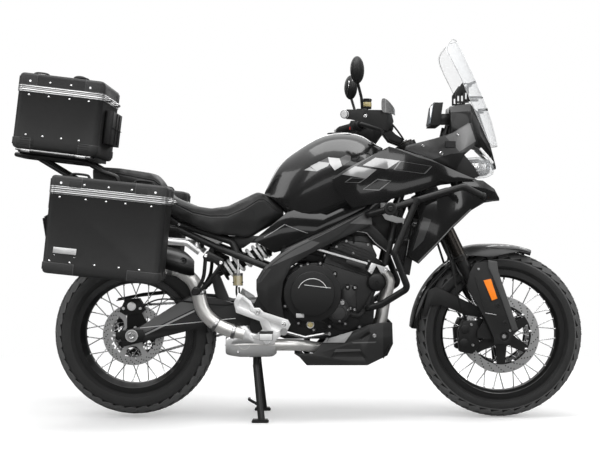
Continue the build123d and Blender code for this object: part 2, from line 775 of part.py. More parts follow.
def tail_section():
    """Closed body under the pillion seat with the arm that holds the number plate."""
    body = slab([(-596, 834), (-590, 822), (-640, 790), (-800, 800), (-930, 880), (-936, 912),
                 (-850, 905)], -tail_half_width, tail_half_width)
    body -= rod((-846, -100, 904), (-846, 100, 904), 22 + 2 * seat_gap)
    arm = slab([(-870, 850), (-928, 884), (-962, 820), (-988, 700), (-980, 640), (-972, 640),
                (-976, 700), (-950, 806), (-925, 840)], -34, 34)
    backing = slab([(-992, 742), (-976, 640), (-970, 641), (-986, 743)], -92, 92)
    return body + arm + backing


def tail_light():
    return slab([(-936.6, 911), (-930.6, 881), (-952, 884), (-956, 908)], -62, 62)


def number_plate():
    """Blank plate against its backing."""
    return slab([(-999.6, 788), (-976.4, 640), (-978.4, 640), (-1001.6, 788)], -104, 104)


def rear_indicators():
    stem = rod((-904, tail_half_width + seat_gap, 880), (-904, 106, 880), 12)
    lamp = Pos(-912, 128, 880) * Box(44, 50, 26)
    return both_sides(stem + lamp)


def front_indicators():
    stem = rod((564, 159.2, 1067), (564, 196, 1067), 12)
    lamp = Pos(572, 218, 1066) * Box(36, 46, 24)
    return both_sides(stem + lamp)


def frame_covers():
    outline = [(270, 824), (119, 745), (-20, 682), (-84, 642), (-145, 588), (-168, 549),
               (-168, 511), (-161, 473), (-123, 427), (-61, 396), (-73, 473), (-65, 542),
               (-31, 606), (40, 650), (140, 700), (278, 762)]
    plan = [(280, 165.8), (262, 166), (100, 172.8), (-52, 170.8), (-124, 166.8), (-180, 166)]
    bar_hole = rod((262, 150, 800), (262, 190, 800), crash_bar_diameter + 2)
    return both_sides(panel(outline, plan, 5) - bar_hole)


crash_bar_diameter = 26
shroud_plan = [(118, 190), (230, 226), (330, 234), (480, 216), (610, 156), (700, 104)]


def tank_shrouds():
    outline = [(123, 938), (127, 907), (199, 825), (300, 844), (471, 893), (577, 924),
               (690, 936), (593, 971), (497, 1011), (387, 1046), (338, 1058), (180, 976)]
    wing = panel(outline, shroud_plan, -5)
    arm = rod((200, 162.4, 940), (200, 212, 940), 20)
    return both_sides(wing + arm)


def lower_shrouds():
    outline = [(404, 640), (452, 612), (586, 751), (660, 816), (728, 853), (700, 882),
               (620, 904), (471, 868), (442, 846), (455, 787), (415, 704)]
    plan = [(400, 196), (520, 224), (600, 196), (735, 96)]
    wing = panel(outline, plan, -5)
    arm = rod((440, 158 + seat_gap, 760), (440, 204, 760), 18)
    return both_sides(wing + arm)


def beak():
    """Pointed nose piece under the headlight."""
    stations = [
        (628, [(132, 940), (140, 915), (120, 868), (40, 858)]),
        (717, [(78, 934), (92, 905), (84, 856), (30, 846)]),
        (767, [(40, 903), (52, 890), (48, 860), (20, 854)]),
        (790, [(14, 868), (20, 864), (18, 857), (8, 856)]),
    ]
    return loft_along_x(stations)


def nose_side_panels():
    outline = [(409, 1064), (516, 1092), (589, 1115), (669, 1160), (697, 1081), (640, 1034),
               (611, 990), (606, 975), (497, 1015), (400, 1050)]
    plan = [(396, 188), (500, 182), (600, 142), (700, 84)]
    wing = panel(outline, plan, -5)
    return both_sides(wing)


def nose_stay():
    """Tubes from the head tube that carry the nose, the lamp and the display."""
    main = bent_tube([(432, 10, 1006), (520, 30, 1040), (560, 60, 1070), (578.5, 60, 1150)],
                     18, 24)
    low = bent_tube([(452, 12, 982), (590, 24, 982), (619.8, 57.4, 910.6)], 18, 24)
    side = rod((556, 50, 1066), (556, 151, 1066), 14)
    return both_sides(main + low + side - head_tube(head_tube_diameter + 2 * seat_gap))


def nose_cowl():
    """Dark centre piece behind the screen with the brow over the lamp."""
    stations = [
        (588, [(70, 1225), (92, 1200), (104, 1130), (84, 1076)]),
        (668, [(66, 1237), (86, 1205), (92, 1130), (80, 1074)]),
        (706, [(58, 1196), (72, 1160), (80, 1110), (70, 1060)]),
        (752, [(50, 1066), (58, 1052), (60, 1042), (54, 1032)]),
        (772, [(44, 992), (50, 988), (50, 984), (44, 980)]),
    ]
    return loft_along_x(stations)


def headlight():
    shell = loft_along_x([
        (642, [(52, 1024), (78, 1005), (78, 975), (52, 958)]),
        (700, [(56, 1028), (84, 1006), (84, 968), (56, 946)]),
        (740, [(50, 1018), (70, 1000), (70, 968), (50, 948)]),
        (764, [(34, 1000), (44, 992), (44, 970), (34, 960)]),
    ])
    return shell


screen_rows = [  # z, x at the middle, x at the edges, half width
    (1072, 786, 748, 70), (1157, 766, 702, 118), (1232, 740, 664, 148),
    (1325, 702, 621, 172), (1400, 669, 583, 168), (1446, 648, 566, 138), (1492, 624, 600, 66),
]
screen_thickness = 4


def windscreen():
    """Clear sheet: each row is an arc from edge to edge."""
    faces = []
    t = screen_thickness
    for z, x_mid, x_edge, half in screen_rows:
        outer = ThreePointArc((x_edge, -half, z), (x_mid, 0, z), (x_edge, half, z))
        inner = ThreePointArc((x_edge - t, -half, z), (x_mid - t, 0, z), (x_edge - t, half, z))
        ends = [Line(outer @ 1, inner @ 1), Line(inner @ 0, outer @ 0)]
        faces.append(make_face(Curve() + [outer, inner] + ends))
    return loft(faces, ruled=True)


def screen_bracket():
    """Slotted post behind the screen with arms that reach it."""
    post = slab([(611, 1240), (611, 1279), (637, 1318), (664, 1318), (664, 1241)], -60, -52)
    post += slab([(611, 1240), (611, 1279), (637, 1318), (664, 1318), (664, 1241)], 52, 60)
    post += rod((640, -56, 1300), (640, 56, 1300), 12)
    arm = rod((655, 56, 1262), (716, 56, 1262), 10)
    foot = rod((640, 56, 1234.2), (640, 56, 1246), 10)
    return both_sides(post + arm + foot) - screen_clearance()


def screen_clearance():
    """Everything from the screen's inner face forward."""
    faces = []
    for z, x_mid, x_edge, half in screen_rows[1:5]:
        back = screen_thickness + seat_gap
        arc = ThreePointArc((x_edge - back, -half, z), (x_mid - back, 0, z),
                            (x_edge - back, half, z))
        ends = [Line(arc @ 1, (900, half, z)), Line((900, half, z), (900, -half, z)),
                Line((900, -half, z), arc @ 0)]
        faces.append(make_face(Curve() + [arc] + ends))
    return loft(faces, ruled=True)


def instrument_display():
    """Upright screen unit behind the cowl."""
    return slab([(511, 1150), (525, 1238), (560, 1240), (547, 1150)], -86, 86)


def display_stay():
    return box_between((548, -30, 1160), (587.6, 30, 1200)) - slab(
        [(511, 1150), (525, 1238), (560.5, 1240), (547.5, 1150)], -90, 90)


def crash_bars():
    """Round bars around the tank's lower sides and the engine."""
    y = 252
    loop = bent_tube([(262, 159.6, 800), (262, 200, 800), (343, y, 822), (470, y, 862),
                      (618, y - 4, 906), (690, 236, 870)], 26, 22)
    lower = bent_tube([(439, y, 852), (357, y, 652), (409, y - 20, 520), (312, 190, 456),
                       (262, 164, 440), (262, engine_half_width + seat_gap, 440)], 26, 22)
    return both_sides(loop + lower)


# ---------------------------------------------------------------- rear running gear


arm_outline = [
    (rear_axle_x - 49, rear_axle_z + 16), (rear_axle_x + 28, rear_axle_z + 32), (-433, 484),
    (-330, 478), (pivot_centre[0] - 20, pivot_centre[1] + 32),
    (pivot_centre[0] + 24, pivot_centre[1] + 18), (pivot_centre[0] + 24, pivot_centre[1] - 18),
    (pivot_centre[0] - 30, pivot_centre[1] - 30), (-378, 363),
    (rear_axle_x + 49, rear_axle_z - 23), (rear_axle_x - 36, rear_axle_z - 44)]


def swingarm():
    """Two arms, a cross member, the pivot tube and the shock's lug."""
    ax, az = rear_axle_x, rear_axle_z
    arm = slab(arm_outline, arm_inner_y, arm_outer_y)
    cross = slab([(-318, 440), (-300, 376), (-232, 384), (-232, 436)], 0, arm_inner_y + 1)
    tube = drum(pivot_centre, 0, arm_outer_y, 18)
    arms = both_sides(arm + cross + tube)
    y = shock_low[1]
    lug = slab([(-352, 566), (-330, 576), (-316, 562), (-262, 430), (-318, 430)],
               y - eye_half_width - 9, y + eye_half_width + 9)
    slot = slab([(-380, 600), (-380, 526), (-296, 526), (-280, 600)],
                y - eye_half_width - seat_gap, y + eye_half_width + seat_gap)
    arms += lug - slot
    arms -= drum((ax, az), -200, 200, rear_axle_diameter / 2 + seat_gap)
    arms -= drum(pivot_centre, -200, 200, pivot_shaft_radius + seat_gap)
    return arms


def shock_point(t):
    return tuple(a + (b - a) * t for a, b in zip(shock_low, shock_high))


def rear_shock():
    """Damper body, rod, eyes and spring seats, with its mounting lug on the frame."""
    body = rod(shock_point(0), shock_point(0.42), 18)
    body += rod(shock_point(0.42), shock_point(0.98), 44)
    body += rod(shock_point(0.13), shock_point(0.16), 74)
    body += rod(shock_point(0.82), shock_point(0.86), 74)
    y = shock_low[1]
    ears = slab([(-120, 720), (-120, 630), (-40, 630), (-40, 720)], y - 40, y + 40)
    body -= ears - slab([(-120, 720), (-120, 630), (-40, 630), (-40, 720)],
                        y - eye_half_width, y + eye_half_width)
    for x, _, z in (shock_low, shock_high):
        body += drum((x, z), y - eye_half_width, y + eye_half_width, 15)
    return body


def rear_shock_spring():
    coil = rod(shock_point(0.162), shock_point(0.818), 76)
    return coil - rod(shock_point(0.1), shock_point(0.9), 50)


def belt_face(centre_a, radius_a, centre_b, radius_b, y):
    """Face bounded by two circles and their outer tangents, at a given y."""
    dx, dz = centre_b[0] - centre_a[0], centre_b[1] - centre_a[1]
    along = atan2(dz, dx)
    lean = asin((radius_a - radius_b) / hypot(dx, dz))
    upper, lower = along + pi / 2 - lean, along - pi / 2 + lean

    def on(centre, radius, angle):
        return (centre[0] + radius * cos(angle), y, centre[1] + radius * sin(angle))

    outline = [
        Line(on(centre_a, radius_a, upper), on(centre_b, radius_b, upper)),
        ThreePointArc(on(centre_b, radius_b, upper), on(centre_b, radius_b, along),
                      on(centre_b, radius_b, lower)),
        Line(on(centre_b, radius_b, lower), on(centre_a, radius_a, lower)),
        ThreePointArc(on(centre_a, radius_a, lower), on(centre_a, radius_a, along + pi),
                      on(centre_a, radius_a, upper)),
    ]
    return make_face(Curve() + outline)


chain_height, chain_width = 13, 15


def drive_chain():
    rear_centre = (rear_axle_x, rear_axle_z)
    low = chain_y - chain_width / 2
    radii = rear_sprocket_radius + 1, front_sprocket_radius + 1.5
    outer = belt_face(rear_centre, radii[0] + chain_height, front_sprocket_centre,
                      radii[1] + chain_height, low)
    inner = belt_face(rear_centre, radii[0], front_sprocket_centre, radii[1], low)
    return extrude(outer - inner, amount=chain_width, dir=(0, 1, 0))


def front_sprocket():
    plate = drum(front_sprocket_centre, chain_y - 3, chain_y + 3, front_sprocket_radius + 1)
    return plate + drum(front_sprocket_centre, 66 + seat_gap, 97, 16)


def chain_guard():
    """Strip over the upper chain run, fixed to the left arm."""
    path = [(-742, 452), (-640, 470), (-509, 484), (-400, 488)]
    cover = slab(strip(path, 4), 82, 122)
    cover += slab(path + [(-400, 500), (-509, 498), (-640, 484), (-742, 462)], 118, 122)
    foot = slab([(-430, 492), (-430, 470), (-400, 470), (-400, 492)], 104, 120)
    return cover + foot - Pos(0, 0, seat_gap) * slab(arm_outline, 90, 130)


def rear_brake_caliper():
    """Caliper over the disc's top with its bracket on the axle."""
    ax, az = rear_axle_x, rear_axle_z
    outline = [(ax - 52, az + 92), (ax - 30, az + 138), (ax + 24, az + 142), (ax + 50, az + 100),
               (ax + 34, az + 84), (ax - 30, az + 78)]
    low = rear_disc_y - disc_thickness / 2 - pad_gap
    high = rear_disc_y + disc_thickness / 2 + pad_gap
    body = slab(outline, low - 20, high + 16)
    body -= drum((ax, az), low, high, rear_disc_radius + pad_gap)
    return body


def rear_caliper_bracket():
    """Plate from the axle up to the caliper, outside the disc."""
    ax, az = rear_axle_x, rear_axle_z
    plate = slab([(ax - 24, az - 16), (ax - 24, az + 90), (ax + 34, az + 86), (ax + 56, az + 40),
                  (ax + 24, az - 16)], rear_bracket_y, rear_bracket_y + rear_bracket_thickness)
    return plate - drum((ax, az), -200, 0, rear_axle_diameter / 2 + seat_gap)


def rear_brake_reservoir():
    cup = Pos(-240, -140, 550) * Cylinder(19, 48)
    stay = rod((-240, -134, 560), (-240, -120, 640), 10)
    return cup + stay - mirror(lower_rail_with_gap(), about=Plane.XZ)


hanger_inner_y, hanger_outer_y = plate_outer_y + 40, plate_outer_y + 50


def footrest_hangers():
    """Cast plates that carry the rider's footrests and heel guards."""
    outline = [(-237, 501), (-218, 489), (-188, 469), (-176, 442), (-156, 442), (-139, 426),
               (-46, 396), (-36, 379), (-46, 359), (-78, 334), (-104, 303), (-181, 329),
               (-143, 360), (-155, 392), (-245, 424), (-254, 462)]
    plate = slab(outline, hanger_inner_y, hanger_outer_y)
    for x, z, inner in ((-160, 424, plate_outer_y), (-62, 380, engine_half_width)):
        plate += drum((x, z), inner + seat_gap, hanger_inner_y + 1, 13)
    return both_sides(plate)


footrest_centre = (-128, 338)


def rider_footrests():
    x, z = footrest_centre
    peg = box_between((x - 24, hanger_outer_y + seat_gap, z - 12), (x + 24, 276, z + 12))
    return both_sides(peg)


def pillion_footrests():
    """Hangers from the subframe and the folded pegs."""
    hanger = slab([(-369, 651), (-340, 672), (-311, 606), (-331, 551), (-375, 500),
                   (-410, 500), (-402, 528), (-372, 551)],
                  hanger_outer_y + 2, hanger_outer_y + 12)
    hanger += rod((-343, 122, 664), (-343, hanger_outer_y + 2, 655), 20)
    peg = rod((-396, hanger_outer_y + 6, 512), (-396, 262, 512), 22)
    return both_sides(hanger + peg - lower_rail_with_gap())


rack_arm_route = [(-388, 146, 654), (-436, 150, 690), (-545, 152, 698)]
rack_arm_diameter = 24


def silencer_bracket():
    """Silver arm from the subframe that carries the silencer and the pannier rack."""
    arm = bent_tube(rack_arm_route, rack_arm_diameter, 30)
    arm += rod((-400, 116, 700), (-400, 146, 664), 18)
    return both_sides(arm - lower_rail_with_gap())


def foot_controls():
    """Brake pedal on the right, gear pedal on the left."""
    y = hanger_outer_y
    lever = bent_tube([(-62, -y - 8, 352), (20, -y - 10, 330), (96, -y - 12, 344),
                       (112, -y - 40, 346)], 12, 16)
    lever += drum((-62, 352), -y - 14, -y - seat_gap, 14)
    shift = bent_tube([(-62, y + 8, 352), (30, y + 10, 338), (90, y + 12, 352),
                       (96, y + 42, 352)], 12, 16)
    shift += drum((-62, 352), y + seat_gap, y + 14, 14)
    return lever + shift


# ---------------------------------------------------------------- cases and racks


def rounded_prism(length, width, z_from, z_to, corner):
    """Upright prism centred on X and Y, with rounded corners in plan."""
    prism = Pos(0, 0, (z_from + z_to) / 2) * Box(length, width, z_to - z_from)
    return fillet(prism.edges().filter_by(Axis.Z), corner)


def case_ring(length, width, z_from, z_to):
    """The layer that stands proud of a case's wall, between two heights."""
    outer = rounded_prism(length, width, z_from, z_to, case_corner)
    inset = 2 * guard_depth
    return outer - rounded_prism(length - inset, width - inset, z_from - 1, z_to + 1,
                                 case_corner - guard_depth)


def corner_guards(length, width, z_from, z_to, reach):
    """The same layer, kept only near the four corners."""
    ring = case_ring(length, width, z_from, z_to)
    middle = (z_from + z_to) / 2
    ring -= Pos(0, 0, middle) * Box(length - 2 * reach, width + 2, z_to - z_from + 2)
    return ring - Pos(0, 0, middle) * Box(length + 2, width - 2 * reach, z_to - z_from + 2)


def case_shell(length, width, height):
    """Open-topped tray centred on X and Y, floor at z = 0, floor edges rounded."""
    length, width = length - 2 * guard_depth, width - 2 * guard_depth
    corner = case_corner - guard_depth
    outer = rounded_prism(length, width, 0, height, corner)
    outer = fillet(outer.faces().sort_by(Axis.Z)[0].edges(), case_edge_radius)
    inner = rounded_prism(length - 2 * case_wall, width - 2 * case_wall, case_wall, height + 1,
                          corner - case_wall)
    inner = fillet(inner.faces().sort_by(Axis.Z)[0].edges(), case_edge_radius - case_wall)
    return outer - inner


case_corner = 30
case_edge_radius = 14
guard_depth = 3                 # bands and corner guards stand proud of the walls
band_height = 12
guard_height, guard_reach = 40, 84
hinge_diameter, hinge_pin_diameter = 14, 6
hinge_stand_off = 8             # hinge line ahead of the case's front face


def hinge_side(length, width, fixed):
    """Knuckles of one half of a case hinge, about a Y line at the rim's height."""
    x = length / 2 + hinge_stand_off
    knuckles = []
    for middle in (-width / 4, width / 4):
        spans = ((-30, -11), (11, 30)) if fixed else ((-10, 10),)
        for low, high in spans:
            barrel = drum((x, 0), middle + low, middle + high, hinge_diameter / 2)
            foot = -7 if fixed else 0
            web = box_between((length / 2 - 1, middle + low, foot),
                              (x, middle + high, foot + 7))
            knuckles.append(barrel + web)
    whole = knuckles[0]
    for knuckle in knuckles[1:]:
        whole += knuckle
    return whole


def hinge_pins(length, width):
    x = length / 2 + hinge_stand_off
    pins = [drum((x, 0), middle - 30, middle + 30, hinge_pin_diameter / 2)
            for middle in (-width / 4, width / 4)]
    return pins[0] + pins[1]


def hinge_bores(length, width):
    x = length / 2 + hinge_stand_off
    return drum((x, 0), -width / 2, width / 2, hinge_pin_diameter / 2 + pin_gap)


def case_body(length, width, height, lid_height):
    body_height = height - lid_height
    body = case_shell(length, width, body_height)
    body += case_ring(length, width, body_height - band_height, body_height)
    body += corner_guards(length, width, case_edge_radius, guard_height, guard_reach)
    body += Pos(0, 0, body_height) * hinge_side(length, width, True)
    body += Pos(0, 0, body_height) * hinge_pins(length, width)
    return body


def case_cover(length, width, height, lid_height):
    depth = lid_height - lid_gap
    lid = Pos(0, 0, depth) * mirror(case_shell(length, width, depth), about=Plane.XY)
    lid += case_ring(length, width, 0, band_height)
    lid += corner_guards(length, width, band_height, depth - case_edge_radius,
                         guard_reach - 10)
    hinge = hinge_side(length, width, False) - hinge_bores(length, width)
    return Pos(0, 0, height - lid_height) * (Pos(0, 0, lid_gap) * lid + hinge)


def place_top_case(shape):
    x, z = top_case_base_centre
    return Pos(x, 0, z) * Rot(0, top_case_tilt, 0) * shape


def place_pannier(side, shape):
    x, z = pannier_base_centre
    y = side * (pannier_inner_y + pannier_width / 2)
    return Pos(x, y, z) * Rot(0, pannier_tilt, 0) * shape


top_case_size = (top_case_length, top_case_width, top_case_height, top_case_lid_height)
pannier_size = (pannier_length, pannier_width, pannier_height, pannier_lid_height)


def top_case_body():
    return place_top_case(case_body(*top_case_size))


def top_case_lid():
    return place_top_case(case_cover(*top_case_size))


def pannier_body(side):
    return place_pannier(side, case_body(*pannier_size))


def pannier_lid(side):
    return place_pannier(side, case_cover(*pannier_size))


def backrest_pad():
    front = top_case_length / 2 - guard_depth
    pad = box_between((front + seat_gap, -120, 58), (front + 34, 120, 186))
    return place_top_case(fillet(pad.edges().filter_by(Axis.Z), 12))


def top_case_plate():
    plate = box_between((-150, -140, -14), (150, 140, -seat_gap))
    return place_top_case(plate)


rack_tube = 18


def luggage_rack():
    """Tube loop under the top case with legs down to the subframe."""
    z = -14 - seat_gap - rack_tube / 2
    loop = bent_tube([(120, 118, z), (-168, 118, z), (-168, -118, z), (120, -118, z)],
                     rack_tube, 50)
    for x in (-90, 20, 110):
        loop += rod((x, -118, z), (x, 118, z), 14)
    leg = bent_tube([place_point(116, 118, z), (-764, 142, 966), (-706, 152, 946),
                     (-690, 152, 884), (-680, 106, 858)], rack_tube, 20)
    rear_leg = rod(place_point(-90, 100, z), (-814, 100, 896), 16)
    rack = place_top_case(loop) + both_sides(leg + rear_leg)
    rack -= rod((-846, -101, 904), (-846, 101, 904), 22 + 2 * seat_gap)
    return rack - both_sides(upper_rails_with_gap())


def place_point(x, y, z):
    """Point given in the top case's own frame."""
    cx, cz = top_case_base_centre
    a = radians(top_case_tilt)
    return (cx + x * cos(a) + z * sin(a), y, cz - x * sin(a) + z * cos(a))


def pannier_racks():
    """Tube loop beside each pannier with hooks and arms to the bike."""
    y = pannier_inner_y - 16
    loop = bent_tube([(-560, y, 850), (-560, y, 650), (-880, y, 682), (-880, y, 884),
                      (-600, y, 855)], 16, 30)
    loop += rod((-600, y, 855), (-556, y, 850), 16)
    for x, z in ((-560, 700), (-560, 800), (-880, 730), (-880, 840)):
        loop += rod((x, y, z), (x, pannier_inner_y + guard_depth - seat_gap, z), 24)
    loop += rod((-700, y, 865), (-700, 100, 862), 16)
    loop += rod((-548, 152, 698), (-560, y, 706), 16)
    arm = bent_tube(rack_arm_route, rack_arm_diameter + 2 * seat_gap, 30)
    return both_sides(loop - upper_rails_with_gap() - arm)


# ---------------------------------------------------------------- stands


def centre_stand():
    """Two splayed legs, feet and a cross bar, turning on a pin in the frame."""
    px, pz = stand_pivot
    y_top = 106
    knee = (px, y_top, pz - 60)
    leg = rod((px, y_top, pz), knee, 26) + Pos(*knee) * Sphere(14)
    leg += rod(knee, (stand_foot_x, stand_foot_y, 6), 27)
    leg += drum(stand_pivot, y_top - 13, y_top + 13, 18)
    leg += box_between((stand_foot_x - 34, stand_foot_y - 18, 0),
                       (stand_foot_x + 24, stand_foot_y + 18, 12))
    leg -= drum(stand_pivot, y_top - 20, y_top + 20, 7 + pin_gap)
    stand = both_sides(leg) + rod((px, -y_top, pz - 60), (px, y_top, pz - 60), 20)
    return stand + bent_tube([(stand_foot_x - 12, stand_foot_y, 16), (-210, 184, 40),
                              (-210, 216, 40)], 12, 10)


side_pivot = (30, 164, 262)
side_foot = (70, 268, 46)
side_folded_direction = (-243, 20, 0)


def side_stand_axis():
    down = Vector(*side_foot) - Vector(*side_pivot)
    back = Vector(*side_folded_direction)
    return back.cross(down).normalized(), back.get_angle(down)


def side_stand():
    """Leg and foot, built lowered and then folded back along the left side."""
    direction, angle = side_stand_axis()
    leg = rod(side_pivot, side_foot, 20)
    leg += Pos(*side_pivot) * Sphere(17)
    x, y, z = side_foot
    leg += Pos(x, y, z - 2) * Rot(12, 0, 0) * Box(64, 46, 8)
    folded = leg.rotate(Axis(side_pivot, direction), -angle)
    return folded


def side_stand_bracket():
    """Lug on the frame that the side stand turns on."""
    direction, _ = side_stand_axis()
    pivot = Vector(*side_pivot)
    inner = pivot + direction * 32
    arm = rod((30, 100, 420), inner, 26)
    arm -= box_between((0, 80, 270), (60, engine_half_width + seat_gap, 450))
    return arm + rod(inner, pivot + direction * 17.4, 34)


# ---------------------------------------------------------------- write every node

nodes = {
    "front_tyre": tyre(front_wheel),
    "front_rim": rim(front_wheel),
    "front_spokes": spokes(front_wheel),
    "front_hub": front_hub(),
    "front_brake_discs": front_discs(),
    "rear_tyre": tyre(rear_wheel),
    "rear_rim": rim(rear_wheel),
    "rear_spokes": spokes(rear_wheel),
    "rear_hub": rear_hub() + rear_sprocket(),
    "rear_brake_disc": rear_disc(),
    "front_axle": front_axle(),
    "fork_outer_tubes": fork_outer_tubes(),
    "fork_lowers": fork_inner_tubes() + fork_feet(),
    "triple_clamps": triple_clamps(),
    "handlebar": handlebar() + bar_risers(),
    "hand_grips": grips(),
    "bar_controls": switch_housings() + brake_and_clutch_levers() + front_brake_reservoir(),
    "mirrors": mirrors(),
    "hand_guards": hand_guards(),
    "front_mudguard": front_mudguard(),
    "fork_guards": fork_guards(),
    "front_brake_calipers": front_brake_calipers(),
    "front_brake_hoses": front_brake_hoses(),
    "main_frame": main_frame() + nose_stay() + side_stand_bracket(),
    "engine_block": engine_block() + clutch_cover() + alternator_cover() + sprocket_cover(),
    "radiator": radiator() + radiator_fan_shroud(),
    "exhaust_pipes": exhaust_headers() + collector_box(),
    "silencer": silencer(),
    "skid_plate": skid_plate(),
    "fuel_tank": fuel_tank() + fuel_filler_ring(),
    "rider_seat": rider_seat(),
    "pillion_seat": pillion_seat(),
    "rear_subframe": rear_subframe() + silencer_bracket(),
    "tail_section": tail_section() + number_plate(),
    "lamps": tail_light() + rear_indicators() + front_indicators(),
    "frame_covers": frame_covers(),
    "tank_shrouds": tank_shrouds(),
    "lower_fairing": lower_shrouds() + beak(),
    "nose_fairing": nose_side_panels() + nose_cowl() + display_stay(),
    "headlight": headlight(),
    "windscreen": windscreen(),
    "instrument_display": instrument_display() + screen_bracket(),
    "crash_bars": crash_bars(),
    "swingarm": swingarm() + chain_guard(),
    "rear_shock": rear_shock() + rear_shock_spring(),
    "drive_chain": drive_chain() + front_sprocket(),
    "rear_axle": rear_axle(),
    "rear_brake_caliper": rear_brake_caliper() + rear_caliper_bracket(),
    "footrests": footrest_hangers() + rider_footrests() + pillion_footrests(),
    "foot_controls": foot_controls() + rear_brake_reservoir(),
    "luggage_racks": luggage_rack() + top_case_plate() + pannier_racks(),
    "top_case_body": top_case_body() + backrest_pad(),
    "right_pannier_body": pannier_body(-1),
    "left_pannier_body": pannier_body(1),
    "top_case_lid": top_case_lid(),
    "right_pannier_lid": pannier_lid(-1),
    "left_pannier_lid": pannier_lid(1),
    "centre_stand": centre_stand(),
    "side_stand": side_stand(),
    "fuel_cap": fuel_cap(),
}


def write_nodes():
    os.makedirs("parts", exist_ok=True)
    for name, shape in nodes.items():
        export_step(shape, f"parts/{name}.step")


write_nodes()
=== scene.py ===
"""Adventure motorcycle with three hard cases: its finishes, its small parts and a studio."""
import json
from math import asin, atan2, cos, degrees, hypot, pi, radians, sin, tan

import bmesh
import bpy
from bpy.props import FloatProperty, FloatVectorProperty, IntProperty, PointerProperty
from mathutils import Matrix, Vector


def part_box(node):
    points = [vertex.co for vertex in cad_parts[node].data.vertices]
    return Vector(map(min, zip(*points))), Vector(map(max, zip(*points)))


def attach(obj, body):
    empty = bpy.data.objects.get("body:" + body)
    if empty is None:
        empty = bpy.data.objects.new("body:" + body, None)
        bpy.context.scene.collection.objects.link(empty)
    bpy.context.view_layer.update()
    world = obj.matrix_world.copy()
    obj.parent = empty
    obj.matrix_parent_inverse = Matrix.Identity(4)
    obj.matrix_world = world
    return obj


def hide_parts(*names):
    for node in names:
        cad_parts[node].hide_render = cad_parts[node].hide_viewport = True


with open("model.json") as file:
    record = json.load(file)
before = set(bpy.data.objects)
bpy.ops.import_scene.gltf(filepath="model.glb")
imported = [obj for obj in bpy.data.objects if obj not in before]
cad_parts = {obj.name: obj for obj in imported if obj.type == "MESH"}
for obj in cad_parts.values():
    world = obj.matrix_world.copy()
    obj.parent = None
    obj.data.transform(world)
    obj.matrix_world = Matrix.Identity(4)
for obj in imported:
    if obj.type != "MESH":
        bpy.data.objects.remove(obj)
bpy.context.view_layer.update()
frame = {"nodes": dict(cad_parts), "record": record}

bl_info = {
    "name": "Adventure Motorcycle",
    "version": (1, 0, 0),
    "blender": (4, 5, 0),
    "location": "3D View > Sidebar > Motorcycle",
    "description": "Adds the finishes, the small parts and the studio of a touring motorcycle",
    "category": "Add Mesh",
}

MM = 0.001
made = {}       # piece name -> object, for pieces that later operators need


# ------------------------------------------------------------------ shader maths

class Value:
    """A node socket that adds Math nodes when it is used in an expression."""

    def __init__(self, nodes, socket):
        self.nodes = nodes
        self.socket = socket

    def math(self, operation, *others):
        return self.nodes.add("ShaderNodeMath", [self, *others], operation=operation)

    def __add__(self, other):
        return self.math("ADD", other)

    def __sub__(self, other):
        return self.math("SUBTRACT", other)

    def __rsub__(self, other):
        return self.nodes.add("ShaderNodeMath", [other, self], operation="SUBTRACT")

    def __mul__(self, other):
        return self.math("MULTIPLY", other)

    def __truediv__(self, other):
        return self.math("DIVIDE", other)

    def __pow__(self, other):
        return self.math("POWER", other)

    def __gt__(self, other):
        return self.math("GREATER_THAN", other)

    def __lt__(self, other):
        return self.math("LESS_THAN", other)

    __radd__ = __add__
    __rmul__ = __mul__

    def absolute(self):
        return self.math("ABSOLUTE")

    def wave(self):
        return self.math("SINE")

    def clamp(self, low=0.0, high=1.0):
        return self.math("MAXIMUM", low).math("MINIMUM", high)

    def ramp(self, low, high):
        """0 below low, 1 above high, smooth between."""
        return self.nodes.add("ShaderNodeMapRange", {"Value": self, "From Min": low,
                                                     "From Max": high},
                              interpolation_type="SMOOTHSTEP")

    def parts(self):
        """The three numbers of a vector."""
        split = self.nodes.tree.nodes.new("ShaderNodeSeparateXYZ")
        self.nodes.tree.links.new(self.socket, split.inputs[0])
        return [Value(self.nodes, out) for out in split.outputs]


